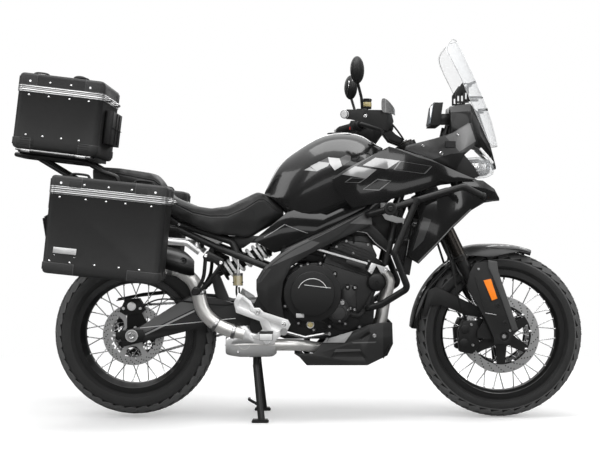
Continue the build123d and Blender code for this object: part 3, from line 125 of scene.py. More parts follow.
class Finish:
    """One material: its Principled shader and the nodes that feed it."""

    def __init__(self, name, **constants):
        self.material = bpy.data.materials.new(name)
        self.material.use_nodes = True
        self.tree = self.material.node_tree
        self.shader = self.tree.nodes["Principled BSDF"]
        dull = {"Specular_IOR_Level": 0.3, "Coat_IOR": 1.32}   # black parts stay black
        for socket, number in {**dull, **constants}.items():
            self.shader.inputs[socket.replace("_", " ")].default_value = number
        self.place = self.add("ShaderNodeTexCoord", output="Object")

    def add(self, kind, sockets=(), output=0, ramp=None, **settings):
        """Adds a node. Its settings come first, then the values or links of its sockets."""
        node = self.tree.nodes.new(kind)
        for name, setting in settings.items():
            setattr(node, name, setting)
        if ramp:
            elements = node.color_ramp.elements
            elements[0].position, elements[1].position = ramp[0][0], ramp[-1][0]
            for position, _ in ramp[1:-1]:
                elements.new(position)
            for element, (_, colour) in zip(elements, ramp):
                element.color = (*colour, 1)
        pairs = sockets.items() if isinstance(sockets, dict) else enumerate(sockets)
        for key, given in pairs:
            if isinstance(given, Value):
                self.tree.links.new(given.socket, node.inputs[key])
            elif given is not None:
                node.inputs[key].default_value = given
        return Value(self, node.outputs[output])

    def feed(self, socket, value):
        if isinstance(value, Value):
            self.tree.links.new(value.socket, self.shader.inputs[socket])
        else:
            self.shader.inputs[socket].default_value = value

    def noise(self, scale, detail=3.0, roughness=0.5, place=None):
        return self.add("ShaderNodeTexNoise", {"Vector": place or self.place, "Scale": scale,
                                               "Detail": detail, "Roughness": roughness})

    def cells(self, scale, feature="F1", place=None, randomness=1.0):
        return self.add("ShaderNodeTexVoronoi", {"Vector": place or self.place, "Scale": scale,
                                                 "Randomness": randomness},
                        output="Distance", feature=feature)

    def stretched(self, x, y, z):
        """Object coordinates scaled along each axis."""
        return self.add("ShaderNodeMapping", {"Vector": self.place, "Scale": (x, y, z)})

    def centred(self, x, z):
        """Distance from a wheel's axis, and the angle round it, in metres and radians."""
        px, _, pz = self.place.parts()
        dx, dz = px - x * MM, pz - z * MM
        return (dx * dx + dz * dz).math("SQRT"), dz.math("ARCTAN2", dx)

    def blend(self, factor, low, high):
        """Colour between low and high."""
        node = self.tree.nodes.new("ShaderNodeMix")
        node.data_type = "RGBA"
        for key, given in ((0, factor), (6, low), (7, high)):
            if isinstance(given, Value):
                self.tree.links.new(given.socket, node.inputs[key])
            elif key == 0:
                node.inputs[key].default_value = given
            else:
                node.inputs[key].default_value = (*given, 1)
        return Value(self, node.outputs[2])

    def curve_along(self, across, points, low, high):
        """Height in metres along a line of (x, z) points in mm, by a colour ramp."""
        return self.add("ShaderNodeValToRGB", [(across - low) / (high - low)],
                        ramp=[((x * MM - low) / (high - low), grey(z * MM))
                              for x, z in points])

    def bump(self, height, distance, strength=1.0, under=None):
        sockets = {"Height": height, "Distance": distance, "Strength": strength}
        if under is not None:
            sockets["Normal"] = under
        return self.add("ShaderNodeBump", sockets)


def grey(level):
    return (level, level, level)


def plain_finish(name, colour, roughness, metal=0.0, grain=900.0, depth=0.00004, coat=0.0,
                 spread=0.12, mottle=14.0, **constants):
    """Surface with a fine grain, and slow changes of tone and gloss."""
    finish = Finish(name, Metallic=metal, **constants)
    slow = finish.noise(mottle, 4.0)
    fine = finish.noise(grain, 2.0, 0.6)
    dark = tuple(c * (1 - spread) for c in colour)
    light = tuple(min(1.0, c * (1 + spread)) for c in colour)
    finish.feed("Base Color", finish.blend(slow, dark, light))
    finish.feed("Roughness", (roughness + (slow - 0.5) * 0.14 + (fine - 0.5) * 0.06).clamp(0.02))
    finish.feed("Coat Weight", coat)
    finish.feed("Normal", finish.bump(fine, depth))
    return finish


def leather_grain_finish(name, colour, roughness, scale, depth, spread=0.15, **constants):
    """Moulded or covered surface with a pebbled grain."""
    finish = Finish(name, **constants)
    pebbles = finish.cells(scale, "SMOOTH_F1")
    fine = finish.noise(scale * 2.2, 2.0)
    slow = finish.noise(9.0, 3.0)
    dark = tuple(c * (1 - spread) for c in colour)
    light = tuple(min(1.0, c * (1 + spread)) for c in colour)
    finish.feed("Base Color", finish.blend(slow * 0.6 + pebbles * 0.4, light, dark))
    finish.feed("Roughness", (roughness + (pebbles - 0.4) * 0.12).clamp(0.05))
    finish.feed("Normal", finish.bump(pebbles + fine * 0.3, depth))
    return finish


def brushed_finish(name, colour, roughness, stretch, scale=260.0, depth=0.00002, metal=1.0,
                   spread=0.1):
    """Metal with fine lines along the axis that stretch leaves smallest."""
    finish = Finish(name, Metallic=metal)
    lines = finish.noise(scale, 3.0, 0.7, finish.stretched(*stretch))
    slow = finish.noise(11.0, 3.0)
    dark = tuple(c * (1 - spread) for c in colour)
    finish.feed("Base Color", finish.blend((lines * 0.5 + slow * 0.5), dark, colour))
    finish.feed("Roughness", (roughness + (lines - 0.5) * 0.2 + (slow - 0.5) * 0.1).clamp(0.05))
    finish.feed("Normal", finish.bump(lines, depth))
    return finish


# ------------------------------------------------------------------ modelling helpers


def start():
    """Leaves edit mode and selects nothing."""
    if bpy.context.object and bpy.context.object.mode != "OBJECT":
        bpy.ops.object.mode_set(mode="OBJECT")
    bpy.ops.object.select_all(action="DESELECT")


def activate(piece):
    start()
    piece.select_set(True)
    bpy.context.view_layer.objects.active = piece


def edit(piece, select="SELECT", mode="VERT"):
    activate(piece)
    bpy.ops.object.mode_set(mode="EDIT")
    bpy.ops.mesh.select_mode(type=mode)
    bpy.ops.mesh.select_all(action=select)


def pick(piece, test, mode="FACE"):
    """Selects the faces, edges or points that pass the test and stays in edit mode."""
    edit(piece, "DESELECT", mode)
    shape = bmesh.from_edit_mesh(piece.data)
    group = {"FACE": shape.faces, "EDGE": shape.edges, "VERT": shape.verts}[mode]
    for item in group:
        item.select_set(bool(test(item)))
    shape.select_flush_mode()
    bmesh.update_edit_mesh(piece.data)


def apply_modifier(piece, kind, **settings):
    activate(piece)
    modifier = piece.modifiers.new(kind.title(), kind)
    for name, setting in settings.items():
        setattr(modifier, name, setting)
    bpy.ops.object.modifier_apply(modifier=modifier.name)


def round_edges(piece, width, segments=2, angle=35):
    apply_modifier(piece, "BEVEL", width=width * MM, segments=segments, limit_method="ANGLE",
                   angle_limit=radians(angle), use_clamp_overlap=True)


def settle(piece):
    """Moves the piece's place and turn into its mesh."""
    activate(piece)
    bpy.ops.object.transform_apply(location=True, rotation=True, scale=True)


def join(pieces):
    start()
    for piece in pieces:
        piece.select_set(True)
    bpy.context.view_layer.objects.active = pieces[0]
    if len(pieces) > 1:
        bpy.ops.object.join()
    return bpy.context.object


def copies(piece, moves):
    """The piece repeated by each matrix, joined; the first one is replaced."""
    settle(piece)
    rest = piece.data.copy()
    others = []
    for move in moves:
        twin = piece.copy()
        twin.data = rest.copy()
        twin.data.transform(move)
        if move.determinant() < 0:
            twin.data.flip_normals()
        bpy.context.scene.collection.objects.link(twin)
        others.append(twin)
    bpy.data.objects.remove(piece)
    return join(others)


def both_ways(piece):
    """The piece and its mirror image on the other side."""
    return copies(piece, [Matrix.Identity(4), Matrix.Scale(-1, 4, (0, 1, 0))])


def plate(outline, y_from, y_to, bevel=0.0, segments=2, angle=35):
    """Flat plate with a side outline of (x, z), between two y values, edges rounded."""
    start()
    bpy.ops.mesh.primitive_circle_add(vertices=len(outline), radius=1, fill_type="NGON")
    piece = bpy.context.object
    for point, (x, z) in zip(piece.data.vertices, outline):
        point.co = (x * MM, y_from * MM, z * MM)
    edit(piece)
    bpy.ops.mesh.extrude_region_move(
        TRANSFORM_OT_translate={"value": (0, (y_to - y_from) * MM, 0)})
    bpy.ops.mesh.select_all(action="SELECT")
    bpy.ops.mesh.normals_make_consistent(inside=False)
    start()
    if bevel:
        round_edges(piece, bevel, segments, angle)
    return piece


def block(low, high, bevel=1.0, segments=2):
    """Box between two corners with rounded edges."""
    start()
    middle = [(a + b) / 2 * MM for a, b in zip(low, high)]
    bpy.ops.mesh.primitive_cube_add(size=1, location=middle)
    piece = bpy.context.object
    bpy.ops.object.mode_set(mode="EDIT")
    bpy.ops.transform.resize(value=[abs(b - a) * MM for a, b in zip(low, high)])
    settle(piece)
    round_edges(piece, bevel, segments)
    return piece


def lathe(profile, centre=(0, 0), steps=48, closed=True):
    """Profile of (radius, y) points spun round an axis along Y through (x, z)."""
    start()
    bpy.ops.mesh.primitive_circle_add(vertices=len(profile), radius=1, fill_type="NOTHING")
    piece = bpy.context.object
    for point, (radius, y) in zip(piece.data.vertices, profile):
        point.co = ((centre[0] + radius) * MM, y * MM, centre[1] * MM)
    edit(piece)
    bpy.ops.mesh.spin(steps=steps, angle=2 * pi, center=(centre[0] * MM, 0, centre[1] * MM),
                      axis=(0, 1, 0))
    bpy.ops.mesh.select_all(action="SELECT")
    bpy.ops.mesh.remove_doubles(threshold=0.00002)
    bpy.ops.mesh.normals_make_consistent(inside=False)
    start()
    return piece


def tube(points, radius, sides=12, order=3, closed=False):
    """Round tube along a smooth line near the points."""
    start()
    bpy.ops.curve.primitive_nurbs_path_add()
    line = bpy.context.object
    line.data.splines.clear()
    spline = line.data.splines.new("NURBS")
    spline.points.add(len(points) - 1)
    for point, place in zip(spline.points, points):
        point.co = (*(c * MM for c in place), 1)
    spline.order_u = order
    spline.use_endpoint_u = not closed
    spline.use_cyclic_u = closed
    spline.resolution_u = 6
    line.data.dimensions = "3D"
    line.data.bevel_depth = radius * MM
    line.data.bevel_resolution = max(1, sides // 4 - 1)
    line.data.use_fill_caps = not closed
    line.location = (0, 0, 0)
    activate(line)
    bpy.ops.object.convert(target="MESH")
    piece = bpy.context.object
    edit(piece)
    bpy.ops.mesh.remove_doubles(threshold=0.00001)
    bpy.ops.mesh.normals_make_consistent(inside=False)
    start()
    return piece


def aim(place, direction):
    """Matrix that stands a +Z piece at a place (mm), pointing along direction."""
    turn = Vector(direction).to_track_quat("Z", "Y").to_matrix().to_4x4()
    return Matrix.Translation(Vector(place) * MM) @ turn


def bolt_heads(places, radius, height=0.0, direction=(0, -1, 0), sides=6):
    """Socket-head or hexagon bolts standing on a surface, each with its hollow."""
    height = height or radius * 0.7
    start()
    bpy.ops.mesh.primitive_cylinder_add(vertices=sides, radius=radius * MM, depth=height * MM,
                                        location=(0, 0, height * MM / 2))
    bolt = bpy.context.object
    settle(bolt)
    pick(bolt, lambda f: f.normal.z > 0.9)
    bpy.ops.mesh.inset(thickness=radius * 0.38 * MM, depth=0)
    bpy.ops.mesh.extrude_region_move(
        TRANSFORM_OT_translate={"value": (0, 0, -height * 0.5 * MM)})
    start()
    round_edges(bolt, radius * 0.1, 1, 60)
    return copies(bolt, [aim(place, direction) for place in places])


def rivets(places, radius, direction):
    """Low domes."""
    start()
    bpy.ops.mesh.primitive_uv_sphere_add(segments=12, ring_count=8, radius=radius * MM)
    dome = bpy.context.object
    edit(dome)
    bpy.ops.mesh.bisect(plane_co=(0, 0, 0), plane_no=(0, 0, 1), clear_inner=True, use_fill=True)
    bpy.ops.mesh.select_all(action="SELECT")
    bpy.ops.transform.resize(value=(1, 1, 0.5))
    return copies(dome, [aim(place, direction) for place in places])


def add_piece(piece, name, body, material, smooth=35, replaces=()):
    """Names the piece, gives it its material, and lets it ride its body."""
    settle(piece)
    piece.name = name
    piece.data.name = name
    piece.data.materials.clear()
    piece.data.materials.append(material)
    activate(piece)
    bpy.ops.object.shade_smooth_by_angle(angle=radians(smooth))
    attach(piece, body)
    if replaces:
        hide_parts(*replaces)
    made[name] = piece
    start()
    return piece


def paint_nodes(material, *names):
    """Gives CAD nodes a material."""
    for name in names:
        slots = frame["nodes"][name].material_slots
        if not slots:
            frame["nodes"][name].data.materials.append(material)
        for slot in slots:
            slot.material = material


def body_of(node):
    for body, nodes in frame["record"]["behaviour"]["bodies"].items():
        if node in nodes:
            return body


def merged_copy(node):
    """A copy of a main part, its loose triangles merged into whole faces."""
    start()
    piece = bpy.data.objects.new(node, frame["nodes"][node].data.copy())
    bpy.context.scene.collection.objects.link(piece)
    edit(piece)
    bpy.ops.mesh.remove_doubles(threshold=0.00002)
    bpy.ops.mesh.dissolve_limited(angle_limit=radians(0.6))
    start()
    return piece


def finished(piece, node, material, smooth=35):
    """Lets a reworked copy stand for its main part."""
    return add_piece(piece, node + "_finished", body_of(node), finishes[material],
                     smooth, (node,))


def soften(node, width, material, segments=2, angle=30):
    """The main part with its edges rounded."""
    piece = merged_copy(node)
    round_edges(piece, width, segments, angle)
    return finished(piece, node, material)


def carve(piece, cutter):
    """Cuts one piece out of another."""
    apply_modifier(piece, "BOOLEAN", operation="DIFFERENCE", object=cutter, solver="EXACT")
    bpy.data.objects.remove(cutter)


def moved(piece, matrix):
    """Moves the piece by a matrix and keeps it in its mesh."""
    settle(piece)
    piece.data.transform(matrix)
    return piece


def around(centre, angle):
    """Turn about a wheel's axis along Y."""
    place = Matrix.Translation((centre[0] * MM, 0, centre[1] * MM))
    return place @ Matrix.Rotation(angle, 4, "Y") @ place.inverted()


def ring_places(centre, radius, count, y, first=0.0):
    """Points evenly round a circle in the side plane."""
    return [(centre[0] + radius * cos(first + 2 * pi * i / count), y,
             centre[1] + radius * sin(first + 2 * pi * i / count)) for i in range(count)]


def skin(rows, wrap=True, levels=2):
    """Smooth surface through rows of points (mm); a wrapped row is a ring."""
    count = len(rows[0])
    aims = [[Vector(p) for p in row] for row in rows]
    cage = [[p.copy() for p in row] for row in aims]

    def between(line, i, closed):
        if not closed and i in (0, len(line) - 1):
            return line[i]
        return (line[i - 1] + 4 * line[i] + line[(i + 1) % len(line)]) / 6

    for _ in range(6):      # moves the cage out until the smooth surface meets every point
        across = [[between(row, i, wrap) for i in range(count)] for row in cage]
        along = [[between([row[i] for row in across], j, False) for i in range(count)]
                 for j in range(len(rows))]
        for j, row in enumerate(cage):
            for i in range(count):
                row[i] += (aims[j][i] - along[j][i]) * 0.8
    start()
    wide = count + (1 if wrap else 0)
    bpy.ops.mesh.primitive_grid_add(x_subdivisions=wide - 1, y_subdivisions=len(rows) - 1)
    piece = bpy.context.object
    for n, point in enumerate(piece.data.vertices):
        point.co = cage[n // wide][n % wide % count] * MM
    edit(piece)
    bpy.ops.mesh.remove_doubles(threshold=0.00001)
    start()
    apply_modifier(piece, "SUBSURF", levels=levels, render_levels=levels)
    edit(piece)
    if wrap:
        bpy.ops.mesh.fill_holes(sides=0)
        bpy.ops.mesh.select_all(action="SELECT")
    bpy.ops.mesh.normals_make_consistent(inside=False)
    start()
    return piece


def upright(profile, place, steps=40):
    """Profile of (radius, height) points turned about a vertical axis at a place (mm)."""
    turned = lathe([(r, h) for r, h in profile], (0, 0), steps)
    return moved(turned, Matrix.Translation(Vector(place) * MM)
                 @ Matrix.Rotation(pi / 2, 4, "X"))


def round_part(profile, place, direction, steps=32):
    """Profile of (radius, height) points turned about an axis along a direction."""
    turned = lathe([(r, h) for r, h in profile], (0, 0), steps)
    return moved(turned, aim(place, direction) @ Matrix.Rotation(pi / 2, 4, "X"))

# ------------------------------------------------------------------ finishes


def rubber_tread_finish(name, wheel):
    """Tyre rubber with moulded rings on the side walls and paler tops on the tread."""
    x, z, inner, outer, middle = wheel
    finish = Finish(name)
    radius, angle = finish.centred(x, z)
    wall = radius.ramp(inner * MM, (inner + 6) * MM) * (1 - radius.ramp((outer - 34) * MM,
                                                                        (outer - 28) * MM))
    rings = (radius * 1400).wave().ramp(0.55, 0.95) * wall
    teeth = (angle * 90).wave().ramp(0.6, 0.9) * radius.ramp((outer - 44) * MM,
                                                             (outer - 40) * MM) * wall
    fine = finish.noise(700.0, 3.0, 0.6)
    slow = finish.noise(10.0, 3.0)
    _, py, _ = finish.place.parts()
    rise = radius - middle * MM
    from_crown = (rise * rise + py * py).math("SQRT")
    worn = from_crown.ramp((outer - middle - 4.2) * MM, (outer - middle - 2.4) * MM)
    worn = worn * (radius > (outer - 36) * MM)
    dark = finish.blend(slow * 0.6 + fine * 0.4, grey(0.01), grey(0.032))
    finish.feed("Base Color", finish.blend(worn, dark, finish.blend(fine, grey(0.05),
                                                                    grey(0.1))))
    finish.feed("Roughness", 0.62 + (fine - 0.5) * 0.2 - rings * 0.12)
    finish.feed("Normal", finish.bump(rings + teeth * 0.8 + fine * 0.25, 0.0005))
    return finish


def disc_finish(name, x, z, bright=0.55):
    """Ground steel with fine rings round the wheel's axis."""
    finish = Finish(name, Metallic=1.0)
    radius, angle = finish.centred(x, z)
    rings = finish.add("ShaderNodeTexNoise", {"Vector": None, "W": radius * 2600.0, "Detail": 2.0},
                       noise_dimensions="1D")
    slow = finish.noise(14.0, 3.0)
    finish.feed("Base Color", finish.blend(rings * 0.5 + slow * 0.5, grey(bright * 0.8),
                                           grey(bright)))
    finish.feed("Roughness", 0.3 + rings * 0.18)
    finish.feed("Normal", finish.bump(rings, 0.00003))
    return finish


def casting_finish(name, colour, roughness, metal=1.0, grain=520.0, depth=0.00012):
    """Sand- or die-cast metal: small pits and a slightly uneven face."""
    finish = Finish(name, Metallic=metal)
    pits = finish.cells(grain, "SMOOTH_F1")
    fine = finish.noise(grain * 1.6, 3.0, 0.6)
    slow = finish.noise(12.0, 4.0)
    dark = tuple(c * 0.8 for c in colour)
    finish.feed("Base Color", finish.blend(slow * 0.5 + pits * 0.4, dark, colour))
    finish.feed("Roughness", (roughness + (fine - 0.5) * 0.2 + (slow - 0.5) * 0.12).clamp(0.1))
    finish.feed("Normal", finish.bump(pits + fine * 0.5, depth))
    return finish


def case_finish(name, base, tilt, band, half_length, half_width, middle_y, reach, studs):
    """Black textured case: ribbed pale band with painted shade in its grooves, greyer corner guards
    with a painted highlight round their edges, and flat studs on them.
    """
    finish = Finish(name)
    band_low, band_high = band
    rib = (band_high - band_low) / 4
    px, py, pz = finish.place.parts()
    a = radians(tilt)
    run = (px - base[0] * MM) * cos(a) - (pz - base[1] * MM) * sin(a)
    along = run.absolute()
    across = (py.absolute() - middle_y * MM).absolute()
    height = (px - base[0] * MM) * sin(a) + (pz - base[1] * MM) * cos(a)

    def near_corners(grow):
        heights = ((height > (band_high + 1.6 - grow) * MM)
                   + (height < (40 + grow) * MM))
        return ((along > (half_length - reach - grow) * MM)
                * (across > (half_width - 84 - grow) * MM) * heights)

    stud = 0.0
    for x, z in studs:
        dx, dz = run - x * MM, height - z * MM
        stud = stud + (dx * dx + dz * dz < (4.2 * MM) ** 2) * (across > (half_width - 4) * MM)
    guard = near_corners(0.0)
    # A pale band, grey(0.09), round each corner guard's edge: painted highlight.
    guard_edge_highlight = near_corners(1.4) * (1 - guard)
    band = (height > band_low * MM) * (height < band_high * MM) * (1 - near_corners(1.4))
    ribs = (height * (2 * pi / (rib * MM))).wave()
    pebbles = finish.cells(620.0, "SMOOTH_F1")
    slow = finish.noise(8.0, 3.0)
    scuffs = finish.noise(60.0, 6.0, 0.7)
    wall = finish.blend(slow * 0.5 + scuffs * 0.5, grey(0.009), grey(0.018))
    moulded = finish.blend(scuffs, grey(0.02), grey(0.034))
    black = finish.blend(guard_edge_highlight, finish.blend(guard, wall, moulded), grey(0.09))
    # The silver band is painted darker in the grooves between its ribs: painted shade.
    silver = finish.blend(ribs.ramp(-0.8, 0.2), grey(0.2), grey(0.62))
    colour = finish.blend(band, black, silver)
    finish.feed("Base Color", finish.blend(stud, colour, grey(0.85)))
    finish.feed("Metallic", band * 0.85 + stud * 0.4)
    finish.feed("Roughness", 0.52 + (pebbles - 0.4) * 0.14 - band * 0.2)
    grain = finish.bump(pebbles * (1 - band), 0.00022)
    finish.feed("Normal", finish.bump(ribs * band, 0.0006, under=grain))
    return finish


def subframe_finish(name):
    """Black tubes, and the bare silver arms that reach out to the silencer and the cases."""
    finish = Finish(name)
    px, py, pz = finish.place.parts()
    arm = (py.absolute() > 133 * MM) * (px < -380 * MM) * (pz > 630 * MM)
    slow = finish.noise(30.0, 4.0)
    finish.feed("Base Color", finish.blend(arm, finish.blend(slow, grey(0.012), grey(0.022)),
                                           finish.blend(slow, grey(0.6), grey(0.74))))
    finish.feed("Metallic", arm * 0.7)
    finish.feed("Roughness", 0.34 + slow * 0.08)
    return finish


def glass_finish(name, tint, alpha, roughness=0.04, edge_alpha=None):
    """Clear moulded plastic that stays faintly pale against white."""
    finish = Finish(name, IOR=1.49, Specular_IOR_Level=0.5)
    slow = finish.noise(5.0, 2.0)
    fresh = finish.add("ShaderNodeLayerWeight", {"Blend": 0.35}, output="Facing")
    finish.feed("Base Color", finish.blend(slow, tint, tuple(min(1, c * 1.08) for c in tint)))
    finish.feed("Roughness", roughness + slow * 0.03)
    finish.feed("Alpha", (alpha + fresh * (edge_alpha or alpha)).clamp())
    return finish


def inside_of(across, up, corners):
    """1 inside a convex outline of (x, z) corners in mm, either way round, else 0."""
    area = sum(x1 * z2 - x2 * z1 for (x1, z1), (x2, z2) in zip(corners,
                                                               corners[1:] + corners[:1]))
    turn = 1 if area > 0 else -1
    inside = 1.0
    for (x1, z1), (x2, z2) in zip(corners, corners[1:] + corners[:1]):
        length = hypot(x2 - x1, z2 - z1) * turn
        inside = ((across - x1 * MM) * ((z1 - z2) / length)
                  + (up - z1 * MM) * ((x2 - x1) / length) > 0.0) * inside
    return inside


def patch_finish(name, patches, roughness, ground=None):
    """Panel colour with patches, some of them painted highlights: (grey, least |y| in mm, metal,
    corners), the last on top.
    """
    gloss = 1.0 if roughness < 0.2 else 0.2
    finish = Finish(name, Coat_Roughness=0.04)
    px, py, pz = finish.place.parts()
    side = py.absolute()
    fine = finish.noise(1500.0, 3.0)
    slow = finish.noise(7.0, 3.0)
    mixed = slow * 0.6 + fine * 0.4
    ground = ground or grey(0.009)
    colour = finish.blend(mixed, tuple(c * 0.75 for c in ground), ground)
    metal = 0.0
    for level, out, shine, corners in patches:
        patch = inside_of(px, pz, corners) * (side > out * MM)
        colour = finish.blend(patch, colour, finish.blend(mixed, grey(level * 0.88),
                                                          grey(level)))
        metal = patch * shine + metal * (1 - patch)
    finish.feed("Base Color", colour)
    finish.feed("Metallic", metal)
    finish.feed("Roughness", roughness + (fine - 0.5) * 0.1 + (slow - 0.5) * 0.05)
    finish.feed("Coat Weight", gloss)
    finish.feed("Normal", finish.bump(fine, 0.00002))
    return finish


def seat_finish(name, seams):
    """Grained vinyl with sewn seams: each seam a height along x, points in mm."""
    finish = Finish(name)
    px, py, pz = finish.place.parts()
    grain = finish.cells(420.0, "SMOOTH_F1")
    slow = finish.noise(9.0, 3.0)
    groove, thread = 0.0, 0.0
    for points, low, high in seams:
        height = finish.curve_along(px, points, low, high)
        gap = (pz - height).absolute()
        groove = (1 - gap.ramp(0.0012, 0.0042)) + groove
        beside = ((pz - height) - 0.006).absolute()
        thread = (beside < 0.0011) * ((px * 1400).wave() > -0.2) + thread
    finish.feed("Base Color", finish.blend(thread.clamp(), finish.blend(
        slow * 0.5 + grain * 0.5, grey(0.008), grey(0.02)), grey(0.035)))
    finish.feed("Roughness", 0.5 + (grain - 0.4) * 0.16 + (slow - 0.5) * 0.1)
    cut = finish.bump(1 - groove.clamp(), 0.0022)
    finish.feed("Normal", finish.bump(grain + thread * 0.8, 0.0003, under=cut))
    return finish


def tank_finish(name):
    """Gloss black paint with a faint flake and a faceted silver-grey pattern on each side."""
    finish = Finish(name, Coat_Roughness=0.03)
    px, py, pz = finish.place.parts()
    side = py.absolute()
    flake = finish.noise(2600.0, 2.0)
    slow = finish.noise(6.0, 2.0)
    pattern = 0.0
    for level, corners in graphic_facets:
        pattern = inside_of(px, pz, corners) * level + pattern
    pattern = pattern * (side > 60 * MM)
    paint = finish.blend(slow * 0.6 + flake * 0.4, grey(0.008), grey(0.016))
    finish.feed("Base Color", finish.blend(pattern.clamp(), paint, grey(0.75)))
    finish.feed("Metallic", (pattern > 0.02) * 0.45)
    finish.feed("Roughness", 0.16 + flake * 0.08 + (pattern > 0.02) * 0.2)
    finish.feed("Coat Weight", 1.0)
    return finish


# pale facets on the tank's sides: how pale, and corners (x, z) in mm, anticlockwise
graphic_facets = (
    (0.55, [(15, 972), (39, 984), (64, 967)]),
    (0.62, [(39, 987), (74, 1004), (113, 999), (108, 987), (64, 967)]),
    (0.75, [(108, 1021), (152, 1016), (162, 987), (133, 970), (113, 997)]),
    (0.14, [(152, 1016), (177, 1029), (195, 1025), (195, 1007), (165, 989)]),
    (0.12, [(74, 1004), (108, 1021), (113, 999)]),
)



def outlined(corners, line=2.4):
    """Two patches that leave a gold outline round a black middle."""
    mx = sum(x for x, _ in corners) / len(corners)
    mz = sum(z for _, z in corners) / len(corners)
    inner = []
    for x, z in corners:
        reach = hypot(x - mx, z - mz)
        keep = 1 - 2.0 * line / reach
        inner.append((mx + (x - mx) * keep, mz + (z - mz) * keep))
    return (0.16, 60, 0.5, corners), (0.009, 60, 0.0, inner)


nose_patches = (
    (0.07, 104, 0.35, [(400, 1001), (470, 1000), (600, 1040), (600, 1120), (540, 1110),
                       (400, 1075)]),
    (0.07, 95, 0.35, [(590, 1035), (700, 1052), (720, 1078), (700, 1100), (590, 1120)]),
    (0.07, 120, 0.35, [(540, 1100), (600, 1090), (668, 1160), (640, 1172)]),
    (0.17, 88, 0.4, [(560, 1101), (660, 1160), (687, 1087), (618, 1044)]),
    (0.02, 60, 0.0, [(598, 1158), (612, 1196), (661, 1207), (671, 1165), (619, 1140)]),
)
shroud_patches = (
    (0.09, 60, 0.4, [(123, 938), (180, 976), (338, 1058), (338, 1046), (186, 966),
                     (136, 934)]),
    (0.13, 60, 0.4, [(338, 1058), (387, 1046), (497, 1011), (593, 971), (590, 964),
                     (495, 1000), (385, 1034), (338, 1046)]),
    (0.34, 60, 0.5, [(238, 987), (286, 1016), (379, 1004), (330, 972)]),
    (0.34, 60, 0.5, [(160, 953), (209, 984), (291, 970), (250, 936)]),
    *outlined([(170, 923), (194, 941), (250, 936), (228, 920)]),
    *outlined([(238, 895), (294, 936), (347, 928), (301, 890)]),
    *outlined([(379, 1003), (505, 984), (476, 954), (355, 970)]),
)
lower_patches = (
    (0.2, 60, 0.3, [(404, 644), (415, 704), (418, 704), (408, 644)]),
    (0.2, 60, 0.3, [(452, 616), (586, 755), (583, 758), (449, 620)]),
    (0.2, 60, 0.3, [(586, 755), (660, 820), (658, 823), (583, 758)]),
    (0.06, 60, 0.3, [(430, 660), (470, 700), (500, 780), (470, 790)]),
)
skid_patches = (
    (0.3, 60, 0.3, [(102, 348), (204, 348), (173, 305), (78, 305)]),
    (0.006, 60, 0.0, [(229, 322), (262, 348), (275, 344), (238, 316)]),
    (0.1, 60, 0.2, [(200, 306), (297, 309), (290, 304), (206, 302)]),
    (0.012, 60, 0.0, [(115, 246), (139, 280), (232, 280), (262, 246)]),
    (0.09, 60, 0.2, [(131, 268), (139, 280), (232, 280), (236, 272)]),
    (0.008, 60, 0.0, [(322, 200), (322, 420), (480, 420), (480, 200)]),
)
# The first two patches are a painted highlight on the bend of the frame cover, the second its dimmer
# lower end.
cover_patches_with_highlight = (
    (0.09, 60, 0.3, [(-147, 587), (-68, 663), (17, 707), (88, 689), (40, 668), (-30, 622),
                     (-110, 592)]),
    (0.05, 60, 0.3, [(-170, 534), (-147, 587), (-110, 592), (-150, 540)]),
    (0.1, 60, 0.3, [(192, 766), (266, 820), (281, 761)]),
)
# Both patches are painted light: a paler band on the swingarm's top bevel and a bright highlight line
# along its lower edge.
swingarm_highlight_patches = (
    (0.11, 60, 0.3, [(-640, 324), (-410, 436), (-404, 490), (-427, 479), (-640, 369)]),
    (0.34, 60, 0.5, [(-640, 313), (-408, 424), (-408, 431), (-640, 320)]),
)
rider_seams = (
    ([(-529, 900), (-509, 862), (-478, 838), (-412, 806), (-346, 792), (-280, 793),
      (-214, 822), (-161, 856), (-139, 856), (-82, 812)], -0.53, -0.08),
)
pillion_seams = (
    ([(-824, 972), (-700, 956), (-566, 930), (-534, 904)], -0.83, -0.53),
)
finishes = {}


